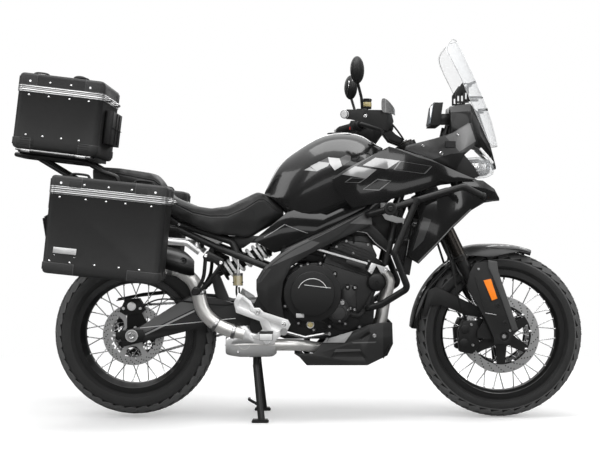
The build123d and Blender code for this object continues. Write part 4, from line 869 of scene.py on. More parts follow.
def make_finishes():
    """Every finish that more than one piece uses."""
    table = {
        "black_steel": plain_finish("black_steel", grey(0.01), 0.36, 0.0, coat=0.15),
        "black_rim": plain_finish("black_rim", grey(0.008), 0.32, 0.0, coat=0.2),
        "black_plastic": leather_grain_finish("black_plastic", grey(0.012), 0.5, 900.0, 0.00012),
        "soft_rubber": leather_grain_finish("soft_rubber", grey(0.01), 0.7, 500.0, 0.0002),
        "grey_panel": plain_finish("grey_panel", grey(0.075), 0.38, 0.3, coat=0.15, grain=1800.0),
        "nose_panel": patch_finish("nose_panel", nose_patches, 0.3),
        "shroud_paint": patch_finish("shroud_paint", shroud_patches, 0.14),
        "lower_shroud_paint": patch_finish("lower_shroud_paint", lower_patches, 0.16),
        "skid_paint": patch_finish("skid_paint", skid_patches, 0.4, grey(0.022)),
        "cover_paint_with_highlight": patch_finish("cover_paint_with_highlight", cover_patches_with_highlight, 0.4, grey(0.016)),
        "swingarm_paint_with_highlight": patch_finish("swingarm_paint_with_highlight", swingarm_highlight_patches, 0.36, grey(0.012)),
        "silver_panel": plain_finish("silver_panel", grey(0.3), 0.3, 0.6, coat=0.4,
                                     grain=2400.0),
        "matte_black": plain_finish("matte_black", grey(0.011), 0.42, coat=0.1),
        "gloss_black": plain_finish("gloss_black", grey(0.008), 0.12, 0.0, coat=1.0,
                                    depth=0.000004, Coat_Roughness=0.03),
        "dark_alloy": casting_finish("dark_alloy", grey(0.02), 0.36, 0.4, depth=0.00006),
        "engine_black": casting_finish("engine_black", grey(0.012), 0.33, 0.0),
        "engine_grey": casting_finish("engine_grey", grey(0.045), 0.34, 0.3, depth=0.00005),
        "collector_steel": casting_finish("collector_steel", grey(0.66), 0.32, 0.85,
                                          depth=0.00006),
        "cast_silver": casting_finish("cast_silver", grey(0.84), 0.36, 0.5, depth=0.00008),
        "plain_steel": brushed_finish("plain_steel", grey(0.5), 0.3, (1, 1, 0.1)),
        "bright_steel": brushed_finish("bright_steel", grey(0.8), 0.16, (0.2, 1, 1)),
        "pipe_steel": brushed_finish("pipe_steel", (0.74, 0.73, 0.71), 0.34, (0.12, 1, 1),
                                     metal=0.75),
        "shield_steel": brushed_finish("shield_steel", grey(0.05), 0.34, (0.12, 1, 1)),
        "fork_bronze": brushed_finish("fork_bronze", (0.045, 0.041, 0.037), 0.26, (1, 1, 0.1),
                                      metal=0.9),
        "pale_panel": plain_finish("pale_panel", grey(0.34), 0.5),
        "smoke_visor": plain_finish("smoke_visor", grey(0.16), 0.16, coat=0.8),
        "spring_white": plain_finish("spring_white", grey(0.95), 0.3, coat=0.6),
        "rider_seat_vinyl": seat_finish("rider_seat_vinyl", rider_seams),
        "pillion_seat_vinyl": seat_finish("pillion_seat_vinyl", pillion_seams),
        "clear_screen": glass_finish("clear_screen", (0.86, 0.88, 0.9), 0.05, 0.04, 0.3),
        "screen_edge": glass_finish("screen_edge", grey(0.55), 0.6, 0.1, 0.3),
        "clear_lens": glass_finish("clear_lens", (0.9, 0.92, 0.95), 0.12, 0.03, 0.4),
        "lens_glass": glass_finish("lens_glass", (0.8, 0.85, 0.9), 0.75, 0.05, 0.3),
        "smoked_amber": glass_finish("smoked_amber", (0.75, 0.4, 0.12), 0.85, 0.1, 0.2),
        "amber_lens": plain_finish("amber_lens", (0.7, 0.16, 0.01), 0.2, coat=0.8),
        "reflector_amber": plain_finish("reflector_amber", (0.9, 0.22, 0.01), 0.25, coat=0.6,
                                        grain=500.0, depth=0.0002),
        "red_lens": plain_finish("red_lens", (0.45, 0.01, 0.01), 0.15, coat=1.0),
        "red_plastic": plain_finish("red_plastic", (0.6, 0.02, 0.015), 0.35),
        "screen_glass": plain_finish("screen_glass", (0.32, 0.36, 0.4), 0.08, coat=1.0),
        "white_light": plain_finish("white_light", grey(0.9), 0.2, coat=1.0),
        "lamp_silver": plain_finish("lamp_silver", grey(0.6), 0.25, 0.8),
        "mirror_glass": plain_finish("mirror_glass", grey(0.85), 0.03, 1.0, spread=0.02,
                                     depth=0.0),
        "yellow_fluid": plain_finish("yellow_fluid", (0.5, 0.42, 0.2), 0.15, coat=1.0),
        "gold_line": plain_finish("gold_line", (0.3, 0.25, 0.17), 0.3, 0.5),
        "pale_line": plain_finish("pale_line", grey(0.45), 0.3, 0.3),
        "blank_label": plain_finish("blank_label", grey(0.62), 0.4, 0.6),
        "pad_cloth": leather_grain_finish("pad_cloth", grey(0.012), 0.8, 600.0, 0.0003),
        "front_rubber": rubber_tread_finish("front_rubber", (790, 329, 241, 329, 272)),
        "rear_rubber": rubber_tread_finish("rear_rubber", (-652, 331, 218, 321, 234)),
        "front_disc_steel": disc_finish("front_disc_steel", 790, 329),
        "rear_disc_steel": disc_finish("rear_disc_steel", -652, 331),
        "top_case_black": case_finish("top_case_black", (-941, 1040), 6.8, (216, 243), 167, 210, 0,
                                      74, ((-118, 258), (112, 258))),
        "pannier_black": case_finish("pannier_black", (-724, 566), 6.0, (290, 318), 216, 114, 360,
                                     118, ((-172, 330), (170, 330))),
        "tank_paint": tank_finish("tank_paint"),
        "subframe_paint": subframe_finish("subframe_paint"),
    }
    finishes.update({name: finish.material for name, finish in table.items()})


node_finishes = {
    "subframe_paint": ("rear_subframe",),
    "black_steel": ("main_frame", "triple_clamps", "handlebar", "crash_bars",
                    "luggage_racks", "centre_stand", "side_stand", "tail_section"),
    "black_rim": ("front_rim", "rear_rim", "front_hub"),
    "black_plastic": ("front_mudguard", "bar_controls", "fork_guards", "radiator", "instrument_display",
                      "mirrors", "hand_guards"),
    "soft_rubber": ("hand_grips", "front_brake_hoses"),
    "skid_paint": ("skid_plate",),
    "cover_paint_with_highlight": ("frame_covers",),
    "nose_panel": ("nose_fairing",),
    "shroud_paint": ("tank_shrouds",),
    "lower_shroud_paint": ("lower_fairing",),
    "gloss_black": ("fuel_cap",),
    "tank_paint": ("fuel_tank",),
    "swingarm_paint_with_highlight": ("swingarm",),
    "dark_alloy": ("rear_shock", "front_brake_calipers", "rear_brake_caliper",
                   "fork_lowers", "rear_hub"),
    "fork_bronze": ("fork_outer_tubes",),
    "engine_black": ("engine_block",),
    "cast_silver": ("footrests",),
    "plain_steel": ("front_axle", "rear_axle", "drive_chain", "foot_controls"),
    "bright_steel": ("front_spokes", "rear_spokes"),
    "pipe_steel": ("exhaust_pipes", "silencer"),
    "rider_seat_vinyl": ("rider_seat",),
    "pillion_seat_vinyl": ("pillion_seat",),
    "clear_screen": ("windscreen",),
    "clear_lens": ("headlight",),
    "amber_lens": ("lamps",),
    "front_rubber": ("front_tyre",),
    "rear_rubber": ("rear_tyre",),
    "front_disc_steel": ("front_brake_discs",),
    "rear_disc_steel": ("rear_brake_disc",),
    "top_case_black": ("top_case_body", "top_case_lid"),
    "pannier_black": ("right_pannier_body", "left_pannier_body", "right_pannier_lid",
                      "left_pannier_lid"),
}

# ------------------------------------------------------------------ pieces


class MOTORCYCLE_OT_frame_finishes(bpy.types.Operator):
    """Gives every carried-over part its finish"""
    bl_idname = "motorcycle.frame_finishes"
    bl_label = "Finishes of the main parts"

    def execute(self, context):
        make_finishes()
        for finish, nodes in node_finishes.items():
            paint_nodes(finishes[finish], *nodes)
        return {"FINISHED"}


front_centre, rear_centre = (790, 329), (-652, 331)
tyre_shapes = {     # centre, crown radius and its centre, tread angle, wall bulge, foot, rim, blocks
    "front": (front_centre, 329, 271.7, 56.9, 54, 303, 33.7, 241.3, 256, 42),
    "rear": (rear_centre, 321, 234.4, 51.7, 74, 288, 55.7, 218.3, 233, 40),
}


def tyre_carcass(shape):
    centre, top, middle, spread, bulge, shoulder, foot_y, foot_r, lip_r, _ = shape
    crown = top - middle
    shoulder_y = crown * sin(radians(spread))
    half = [(foot_r, 0), (foot_r, foot_y), (lip_r, foot_y), (lip_r + 3, foot_y + 2.5)]
    side = (lip_r + shoulder) / 2
    for t in (0.3, 0.5, 0.7, 0.9):
        r = lip_r + (shoulder - 8 - lip_r) * t
        swell = 1 - ((r - side) / (side - lip_r)) ** 2 * (0.55 if r < side else 0.5)
        half.append((r, min(foot_y + (bulge - foot_y) * (0.25 + 0.75 * swell), bulge)))
    half.append((shoulder - 5, shoulder_y + 0.6))
    for step in range(6):
        a = radians(spread * (1 - step / 5))
        half.append((middle + (crown - 6.5) * cos(a), (crown - 6.5) * sin(a)))
    return lathe(half + [(r, -y) for r, y in half[-2:0:-1]], centre, 120)


def tread_block(shape, angle, width, length, skew):
    """One rubber block, its top on the crown's curve, turned to its place over the axle."""
    _, top, middle, *_ = shape
    crown = top - middle
    edge = radians(width / 2)
    steps = (-1, -0.35, 0.35, 1)
    outline = [((crown - 1.5) * sin(edge * s), middle + (crown - 1.5) * cos(edge * s))
               for s in steps]
    outline += [((crown - 8) * sin(edge * s), middle + (crown - 8) * cos(edge * s))
                for s in (1, -1)]
    block = plate(outline, -length / 2, length / 2)
    round_edges(block, 1.2, 1, 40)
    moved(block, Matrix.Rotation(radians(90 + skew), 4, "Z"))
    return moved(block, Matrix.Translation((0, 0, middle * MM))
                 @ Matrix.Rotation(radians(angle), 4, "X")
                 @ Matrix.Translation((0, 0, -middle * MM)))


class MOTORCYCLE_OT_tyres(bpy.types.Operator):
    """Tyres with smooth walls and rows of skewed tread blocks"""
    bl_idname = "motorcycle.tyres"
    bl_label = "Tyres"

    def execute(self, context):
        choice = context.scene.motorcycle_wheels
        for name, shape in tyre_shapes.items():
            centre, top, count = shape[0], shape[1], shape[-1]
            pitch = 2 * pi * top / count
            rows = []
            inner = (11.5, 22, 14) if name == "front" else (11.5, 22, 12)
            outer = (40.5, 33, 20) if name == "front" else (38, 28, 18)
            for side in (-1, 1):
                for (angle, width, skew), phase in ((inner, 0.25), (outer, 0.75)):
                    block = tread_block(shape, side * angle, width, pitch - choice.groove * 1000,
                                        side * skew)
                    moved(block, Matrix.Translation((centre[0] * MM, 0, centre[1] * MM)))
                    shift = phase + (0.5 if side > 0 else 0)
                    rows.append(copies(block, [around(centre, 2 * pi * (i + shift) / count)
                                               for i in range(count)]))
            tyre = join([tyre_carcass(shape), *rows])
            add_piece(tyre, f"{name}_tyre_treaded", f"{name}_wheel", finishes[f"{name}_rubber"],
                      40, (f"{name}_tyre",))
        return {"FINISHED"}


def drill(piece, centre, rows, y, depth, radius):
    """Round holes in rows of (radius, count, first angle)."""
    start()
    bpy.ops.mesh.primitive_cylinder_add(vertices=10, radius=radius * MM, depth=depth * MM)
    bit = bpy.context.object
    moved(bit, Matrix.Rotation(pi / 2, 4, "X"))
    places = [p for r, n, first in rows for p in ring_places(centre, r, n, y, first)]
    carve(piece, copies(bit, [Matrix.Translation(Vector(p) * MM) for p in places]))


class MOTORCYCLE_OT_brake_discs(bpy.types.Operator):
    """Drilled brake discs with their rivets"""
    bl_idname = "motorcycle.brake_discs"
    bl_label = "Brake discs"

    def execute(self, context):
        holes = context.scene.motorcycle_wheels.disc_holes
        discs = []
        for y in (-62, 62):
            disc = lathe([(117, y - 2.5), (150, y - 2.5), (150, y + 2.5), (117, y + 2.5)],
                         front_centre, 120)
            rows = [(123 + 7 * i, holes, i * 2 * pi / holes / 4) for i in range(4)]
            drill(disc, front_centre, rows, y, 12, 2.7)
            discs.append(disc)
        # Black rings sit inside each front disc so that its drilled holes look dark: painted shade.
        hole_shades = join([lathe([(119, y - 1), (148, y - 1), (148, y + 1), (119, y + 1)],
                            front_centre, 96) for y in (-62, 62)])
        add_piece(hole_shades, "front_disc_hole_shades", "front_wheel", finishes["black_steel"])
        disc = join(discs)
        round_edges(disc, 0.5, 1, 50)
        finished(disc, "front_brake_discs", "front_disc_steel")
        buttons = []
        for side in (-1, 1):
            buttons.append(lathe([(0, side * 66.4), (5, side * 66.4), (6.5, side * 65.4),
                                  (6.5, side * 58), (0, side * 58)], (0, 0), 16))
        button = join(buttons)
        button = copies(button, [Matrix.Translation(Vector((x, 0, z)) * MM) for x, _, z in
                                 ring_places(front_centre, 114, 10, 0, 0.1)])
        add_piece(button, "front_disc_buttons", "front_wheel", finishes["bright_steel"])
        rear = merged_copy("rear_brake_disc")
        rows = [(102 + 6 * i, 30, i * 2 * pi / 90) for i in range(3)]
        drill(rear, rear_centre, rows, -77, 12, 2.5)
        drill(rear, rear_centre, [(90, 6, 0.52 + 0.1), (90, 6, 0.52 - 0.1)], -77, 12, 4.2)
        finished(rear, "rear_brake_disc", "rear_disc_steel")
        # A black ring sits inside the rear disc so that its drilled holes look dark: painted shade.
        hole_shade = lathe([(98, -78), (118, -78), (118, -76), (98, -76)], rear_centre, 96)
        add_piece(hole_shade, "rear_disc_hole_shade", "rear_wheel", finishes["black_steel"])
        bolts = bolt_heads(ring_places(rear_centre, 74, 6, -79.4, 0.52), 6, 4)
        add_piece(bolts, "rear_disc_bolts", "rear_wheel", finishes["bright_steel"])
        return {"FINISHED"}


class MotorcycleWheels(bpy.types.PropertyGroup):
    groove: FloatProperty(name="Groove", description="Gap between the tread blocks of a row",
                          default=0.0042, min=0.002, max=0.02, unit="LENGTH")
    disc_holes: IntProperty(name="Disc holes", description="Holes in each row of a front disc",
                            default=22, min=6, max=40)


def case_place(base, tilt, side=0, y=0):
    """Matrix from a case's own frame to the motorcycle's."""
    return (Matrix.Translation(Vector((base[0], side * y, base[1])) * MM)
            @ Matrix.Rotation(radians(tilt), 4, "Y"))


top_place = case_place((-941, 1040), 6.8)
pannier_place = case_place((-724, 566), 6.0, -1, 360)
case_rivets = {     # case: wall y, then rivets (x, z) on the lid and on the body
    "top_case": (-207, [(x, 258) for x in (-42, 38)],
                 [(x, 205) for x in (-118, -42, 38, 112)]
                 + [(x, 52) for x in (-112, -48, 24, 92)]),
    "pannier": (-110.6, [(x, 330) for x in (-88, 0, 84)],
                [(x, 278) for x in (-172, -78, -4, 66, 160)]
                + [(x, 46) for x in (-186, -112, -22, 66, 140)]),
}


def case_handle(x, z, y=0, turn=0.0):
    """Carrying handle that lies in a shallow tray on a lid."""
    grip = tube([(-34, 0, 0), (-34, 0, 9), (-22, 0, 13), (22, 0, 13), (34, 0, 9), (34, 0, 0)],
                4.5, 12)
    tray = block((-44, -16, -1), (44, 16, 2.5), 2)
    feet = join([block((-39, -7, 0), (-29, 7, 8), 2), block((29, -7, 0), (39, 7, 8), 2)])
    return moved(join([grip, tray, feet]),
                 Matrix.Translation(Vector((x, y, z)) * MM) @ Matrix.Rotation(turn, 4, "Z"))


def latch(x, y, z_low, z_high, facing):
    """Over-centre latch: base plate, lever and hook, on a face across X."""
    d = facing
    base = block((min(x, x + 3 * d), y - 15, z_low), (max(x, x + 3 * d), y + 15, z_high - 26), 1)
    lever = plate([(x + 2 * d, z_low + 6), (x + 6.5 * d, z_low + 10), (x + 7 * d, z_high - 34),
                   (x + 2 * d, z_high - 30)], y - 12, y + 12, 1.5)
    hook = block((min(x, x + 4 * d), y - 13, z_high - 20), (max(x, x + 4 * d), y + 13, z_high), 1)
    bail = join([tube([(x + 5 * d, y + s * 9, z_low + 30), (x + 6 * d, y + s * 9, z_high - 26),
                       (x + 4 * d, y + s * 9, z_high - 10)], 1.6, 8) for s in (-1, 1)])
    return join([base, lever, hook, bail])


def guard_ribs(half_length, wall, z_low, reach):
    """Rounded ribs that lie on the corner guards of a case's long walls."""
    ribs = []
    for end in (-1, 1):
        for z in (z_low, z_low + 9, z_low + 18):
            a, b = sorted((end * (half_length - 34), end * (half_length - reach + 6)))
            ribs.append(block((a, wall - 0.2, z), (b, wall + 2.4, z + 4.5), 1.1))
    return join(ribs)


class MOTORCYCLE_OT_cases(bpy.types.Operator):
    """Rivets, handles, latches, plates and ribs of the three cases"""
    bl_idname = "motorcycle.cases"
    bl_label = "Hard cases"

    def execute(self, context):
        radius = context.scene.motorcycle_cases.rivet * 1000
        for node in ("top_case_body", "top_case_lid"):
            soften(node, 1.6, "top_case_black")
        for side in ("right", "left"):
            for part in ("body", "lid"):
                soften(f"{side}_pannier_{part}", 1.6, "pannier_black")
        self.top_case(radius)
        self.panniers(radius)
        return {"FINISHED"}

    def top_case(self, radius):
        wall, on_lid, on_body = case_rivets["top_case"]
        lid, body = finishes["bright_steel"], "top_case_body"
        for name, places, rides in (("lid", on_lid, "top_case_lid"), ("body", on_body, None)):
            dots = both_ways(rivets([(x, wall, z) for x, z in places], radius, (0, -1, 0)))
            add_piece(moved(dots, top_place), f"top_case_{name}_rivets", rides or body_of(body),
                      lid)
        ribs = both_ways(guard_ribs(167, -210, 18, 84))
        add_piece(moved(ribs, top_place), "top_case_guard_ribs", "chassis",
                  finishes["black_plastic"])
        loops = [tube([(-30, 0, 0), (-27, 0, 7), (0, 0, 9), (27, 0, 7), (30, 0, 0)], 3.4, 12)]
        loops.append(block((-42, -13, -1), (42, 13, 3), 2))
        loop = copies(join(loops), [Matrix.Translation(Vector((x, y, 289)) * MM)
                                    for x, y in ((64, -150), (64, 150), (-90, -150), (-90, 150))])
        handle = join([case_handle(31, 289),
                       tube([(6, 0, 292), (8, 0, 306), (20, 0, 312), (42, 0, 312), (54, 0, 306),
                             (56, 0, 292)], 7, 16)])
        field = both_ways(block((-140, 24, 288), (140, 30, 291), 1.2))
        add_piece(moved(join([loop, handle, field]), top_place), "top_case_lash_loops",
                  "top_case_lid", finishes["black_plastic"])
        latches = join([latch(-164, y, 150, 268, -1) for y in (-90, 90)])
        add_piece(moved(latches, top_place), "top_case_latches", "chassis",
                  finishes["plain_steel"])
        feet = both_ways(join([block((x, 60, -13.6), (x + 34, 96, 1), 2) for x in (-120, 86)]))
        rails = both_ways(plate([(-152, -13), (-128, -2), (140, -2), (150, -8), (140, -13)],
                                100, 112, 1))
        add_piece(moved(join([feet, rails]), top_place), "top_case_mounting_rails", "chassis",
                  finishes["plain_steel"])
        under = both_ways(join([block((-150, 118, -9), (140, 190, -0.6), 2),
                                block((-128, 184, -14), (-92, 198, -2), 2),
                                block((84, 184, -14), (122, 198, -2), 2)]))
        add_piece(moved(under, top_place), "top_case_under_plate", "chassis",
                  finishes["plain_steel"])
        seam = both_ways(block((168, 34, 62), (202.2, 37, 182), 1.2))
        stitches = join([seam, block((199, -112, 120), (202.2, 112, 123), 1.2)])
        add_piece(moved(stitches, top_place), "backrest_seams", "chassis",
                  finishes["soft_rubber"])

    def panniers(self, radius):
        wall, on_lid, on_body = case_rivets["pannier"]
        for side, mirror in (("right", 1), ("left", -1)):
            turn = pannier_place if mirror > 0 else Matrix.Scale(-1, 4, (0, 1, 0)) @ pannier_place
            body, lid = "chassis", f"{side}_pannier_lid"

            def put(piece, name, rides, finish, slot):
                settle(piece)
                piece.data.transform(turn)
                if mirror < 0:
                    piece.data.flip_normals()
                add_piece(piece, f"{side}_pannier_{name}", rides, finishes[finish])

            put(rivets([(x, wall, z) for x, z in on_lid], radius, (0, -1, 0)), "lid_rivets", lid,
                "bright_steel", "axle_steel")
            put(rivets([(x, wall, z) for x, z in on_body], radius, (0, -1, 0)), "body_rivets",
                body, "bright_steel", "axle_steel")
            put(join([case_handle(-126, 357), case_handle(112, 357)]), "handles", lid,
                "black_plastic", "case_black")
            put(join([block((-176, -113, 76), (-92, -110.8, 98), 0.8)]), "blank_plate", body,
                "blank_label", "axle_steel")
            put(rivets([(-170, wall, 68), (-98, wall, 66)], 2.2, (0, -1, 0)), "plate_pins", body,
                "bright_steel", "axle_steel")
            put(join([latch(-213, y, 226, 336, -1) for y in (-52, 58)]), "latches", body,
                "plain_steel", "axle_steel")
            put(plate([(-213, 214), (-222, 212), (-238, 200), (-232, 196), (-213, 199)], -36, 36,
                      2), "pull_tab", body, "black_plastic", "case_black")
            put(join([block((x, -113.9, z), (x + 48, -110.5, h), 1.2, 3)
                      for x in (-146, 98) for z, h in ((15, 39.6),)]), "body_guards", body,
                "pannier_black", "case_black")
            put(join([block((x, -113.9, 320), (x + 48, -110.5, 342), 1.2, 3)
                      for x in (-146, 98)]), "lid_guards", lid, "pannier_black", "case_black")
            put(join([block((x, -113.95, z), (x + 44, -112, z + 4), 0.9)
                      for x in (-182, 138) for z in (19, 28)]), "guard_ribs", body,
                "black_plastic", "case_black")


class MotorcycleCases(bpy.types.PropertyGroup):
    rivet: FloatProperty(name="Rivet", description="Radius of the case rivets", default=0.0045,
                         min=0.002, max=0.008, unit="LENGTH")


tank_rows = [       # x, then (y, z) from the top edge down to the lower edge
    (-139, [(26, 889), (52, 886), (58, 882), (50, 879)]),
    (-82, [(46, 993), (88, 950), (104, 880), (78, 838)]),
    (-16, [(56, 1049), (112, 1000), (136, 920), (104, 792)]),
    (97, [(72, 1110), (136, 1062), (168, 980), (112, 790)]),
    (222, [(72, 1113), (140, 1058), (180, 985), (110, 850)]),
    (284, [(60, 1085), (118, 1040), (160, 975), (98, 892)]),
    (326, [(30, 1066), (44, 1050), (50, 1000), (44, 930)]),
]


class MOTORCYCLE_OT_fuel_tank(bpy.types.Operator):
    """Smooth painted tank with its filler ring and cap screws"""
    bl_idname = "motorcycle.fuel_tank"
    bl_label = "Fuel tank"

    def execute(self, context):
        rows = []
        for x, half in tank_rows:
            right = [(x, -y, z) for y, z in half]
            rows.append(right[::-1] + [(x, y, z) for y, z in half])
        tank = skin(rows)
        ring = upright([(30, 0), (56, 0), (56, 4.4), (52, 6.3), (44, 6.3), (43, 3), (30, 3)],
                       (150, 0, 1111))
        hinge = block((199, -14, 1111), (214, 14, 1117), 1.5)
        finished(join([tank, ring, hinge]), "fuel_tank", "tank_paint", 50)
        bolts = bolt_heads([(150 + 48 * cos(a), 48 * sin(a), 1117) for a in
                            [2 * pi * i / 8 for i in range(8)]], 3.2, 2.2, (0, 0, 1))
        add_piece(bolts, "filler_ring_bolts", "chassis", finishes["bright_steel"])
        panel = both_ways(plate([(-182, 700), (-100, 652), (-40, 668), (35, 706), (257, 800),
                                 (262, 872), (104, 800), (60, 812), (-16, 822), (-50, 810)],
                                -124, -112, 3))
        add_piece(panel, "tank_lower_panels", "chassis", finishes["gloss_black"])
        line = both_ways(join([tube([(-140, -124.5, 712), (-95, -124.5, 738),
                                     (-60, -124.5, 762)], 1.1, 6),
                               tube([(-60, -124.5, 762), (-20, -124.5, 745),
                                     (30, -124.5, 728)], 0.9, 6)]))
        add_piece(line, "tank_panel_seams", "chassis", finishes["pale_line"])
        lid = merged_copy("fuel_cap")
        round_edges(lid, 2, 3)
        finished(lid, "fuel_cap", "dark_alloy")
        cover = join([upright([(0, 0), (17, 0), (17, 2), (15.5, 3), (0, 3)], (150, 0, 1125.2)),
                      block((128, -7, 1125), (172, 7, 1127.4), 1.5)])
        add_piece(cover, "fuel_cap_key_cover", "fuel_cap", finishes["gloss_black"])
        return {"FINISHED"}


def cushion(node, choice):
    """Padded cover: a slightly smaller copy that swells under pressure, then is smoothed."""
    piece = merged_copy(node)
    low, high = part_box(node)
    middle = (low + high) / 2
    trim = choice.trim
    piece.data.transform(Matrix.Translation(middle)
                         @ Matrix.Diagonal([1 - 2 * trim / (b - a) for a, b in zip(low, high)]
                                           + [1])
                         @ Matrix.Translation(-middle))
    apply_modifier(piece, "REMESH", mode="VOXEL", voxel_size=choice.voxel)
    rest = [v.co.copy() for v in piece.data.vertices]
    activate(piece)
    cloth = piece.modifiers.new("Cloth", "CLOTH")
    cloth.settings.use_pressure = True
    cloth.settings.uniform_pressure_force = choice.pressure
    cloth.settings.effector_weights.gravity = 0
    for step in range(1, 21):
        bpy.context.scene.frame_set(step)
    bpy.ops.object.modifier_apply(modifier=cloth.name)
    bpy.context.scene.frame_set(1)
    for point, was in zip(piece.data.vertices, rest):
        share = min(1.0, max(0.15, (was.z - low.z - 0.02) / 0.05))
        shift = point.co - was
        point.co = was + shift * min(1.0, choice.swell * share / max(shift.length, 1e-6))
    apply_modifier(piece, "SMOOTH", factor=0.5, iterations=12)
    apply_modifier(piece, "SUBSURF", levels=1, render_levels=1)
    finished(piece, node, node + "_vinyl", 60)
    return piece


class MOTORCYCLE_OT_seats(bpy.types.Operator):
    """Rider's and passenger's seats with sewn covers"""
    bl_idname = "motorcycle.seats"
    bl_label = "Seats"

    def execute(self, context):
        choice = context.scene.motorcycle_seats
        for node in ("rider_seat", "pillion_seat"):
            cushion(node, choice)
        return {"FINISHED"}


class MotorcycleSeats(bpy.types.PropertyGroup):
    pressure: FloatProperty(name="Pressure", description="Pressure that swells the padding",
                            default=4, min=0, max=20)
    swell: FloatProperty(name="Swell", description="Most that a point of the cover may move",
                         default=0.007, min=0, max=0.02, unit="LENGTH")
    trim: FloatProperty(name="Trim", description="How much smaller the pad starts, each side",
                        default=0.004, min=0, max=0.02, unit="LENGTH")
    voxel: FloatProperty(name="Voxel", description="Grid size of the remeshed pad",
                         default=0.006, min=0.004, max=0.02, unit="LENGTH")


screen_rows = [     # z, x at the middle, x at the edges, half width
    (1072, 786, 748, 70), (1157, 766, 702, 118), (1232, 740, 664, 148),
    (1325, 702, 621, 172), (1400, 669, 583, 168), (1446, 648, 566, 138), (1489.6, 624, 600, 66),
]


class MOTORCYCLE_OT_windscreen(bpy.types.Operator):
    """Clear curved screen with a ground edge, its slotted post, the display's glass and keys, and its
    bolts
    """
    bl_idname = "motorcycle.windscreen"
    bl_label = "Windscreen"

    def execute(self, context):
        rows = []
        for z, middle, edge, half in screen_rows:
            rows.append([(middle - (middle - edge) * abs(t) ** 1.9 - 2, half * t, z)
                         for t in (-1, -0.72, -0.36, 0, 0.36, 0.72, 1)])
        screen = skin(rows, wrap=False, levels=2)
        apply_modifier(screen, "SOLIDIFY", thickness=3.4 * MM, offset=0)
        finished(screen, "windscreen", "clear_screen", 50)
        border = [rows[0][i] for i in range(7)] + [row[-1] for row in rows[1:]]
        border += [rows[-1][i] for i in range(5, -1, -1)] + [row[0] for row in rows[-2:0:-1]]
        edge = tube(border, 1.7, 8, closed=True)
        add_piece(edge, "windscreen_edge", "chassis", finishes["screen_edge"])
        unit = merged_copy("instrument_display")
        slots = []
        for x in (622, 637, 652):
            for y in (-56, 56):
                slots.append(block((x - 4, y - 8, 1247), (x + 4, y + 8, 1280 if x > 630 else
                                                          1268), 1))
        carve(unit, join(slots))
        round_edges(unit, 1.2, 2)
        finished(unit, "instrument_display", "black_plastic")
        glass = plate([(508.6, 1158), (520.3, 1231), (522.3, 1230.6), (510.6, 1157.7)], -78, 78,
                      0.6)
        add_piece(glass, "display_glass", "chassis", finishes["screen_glass"])
        keys = join([block((526, y - 9, 1240), (544, y + 9, 1242), 0.8) for y in
                     (-52, -26, 26, 52)])
        add_piece(keys, "display_keys", "chassis", finishes["soft_rubber"])
        bolts = join([bolt_heads([(652, -60, 1307), (652, 60, 1307)], 6, 4, (0, -1, 0)),
                      bolt_heads([(716, y, z) for y in (-56, 56) for z in (1262,)], 5, 3,
                                 (1, 0, 0.3))])
        add_piece(bolts, "screen_bolts", "chassis", finishes["bright_steel"])
        return {"FINISHED"}


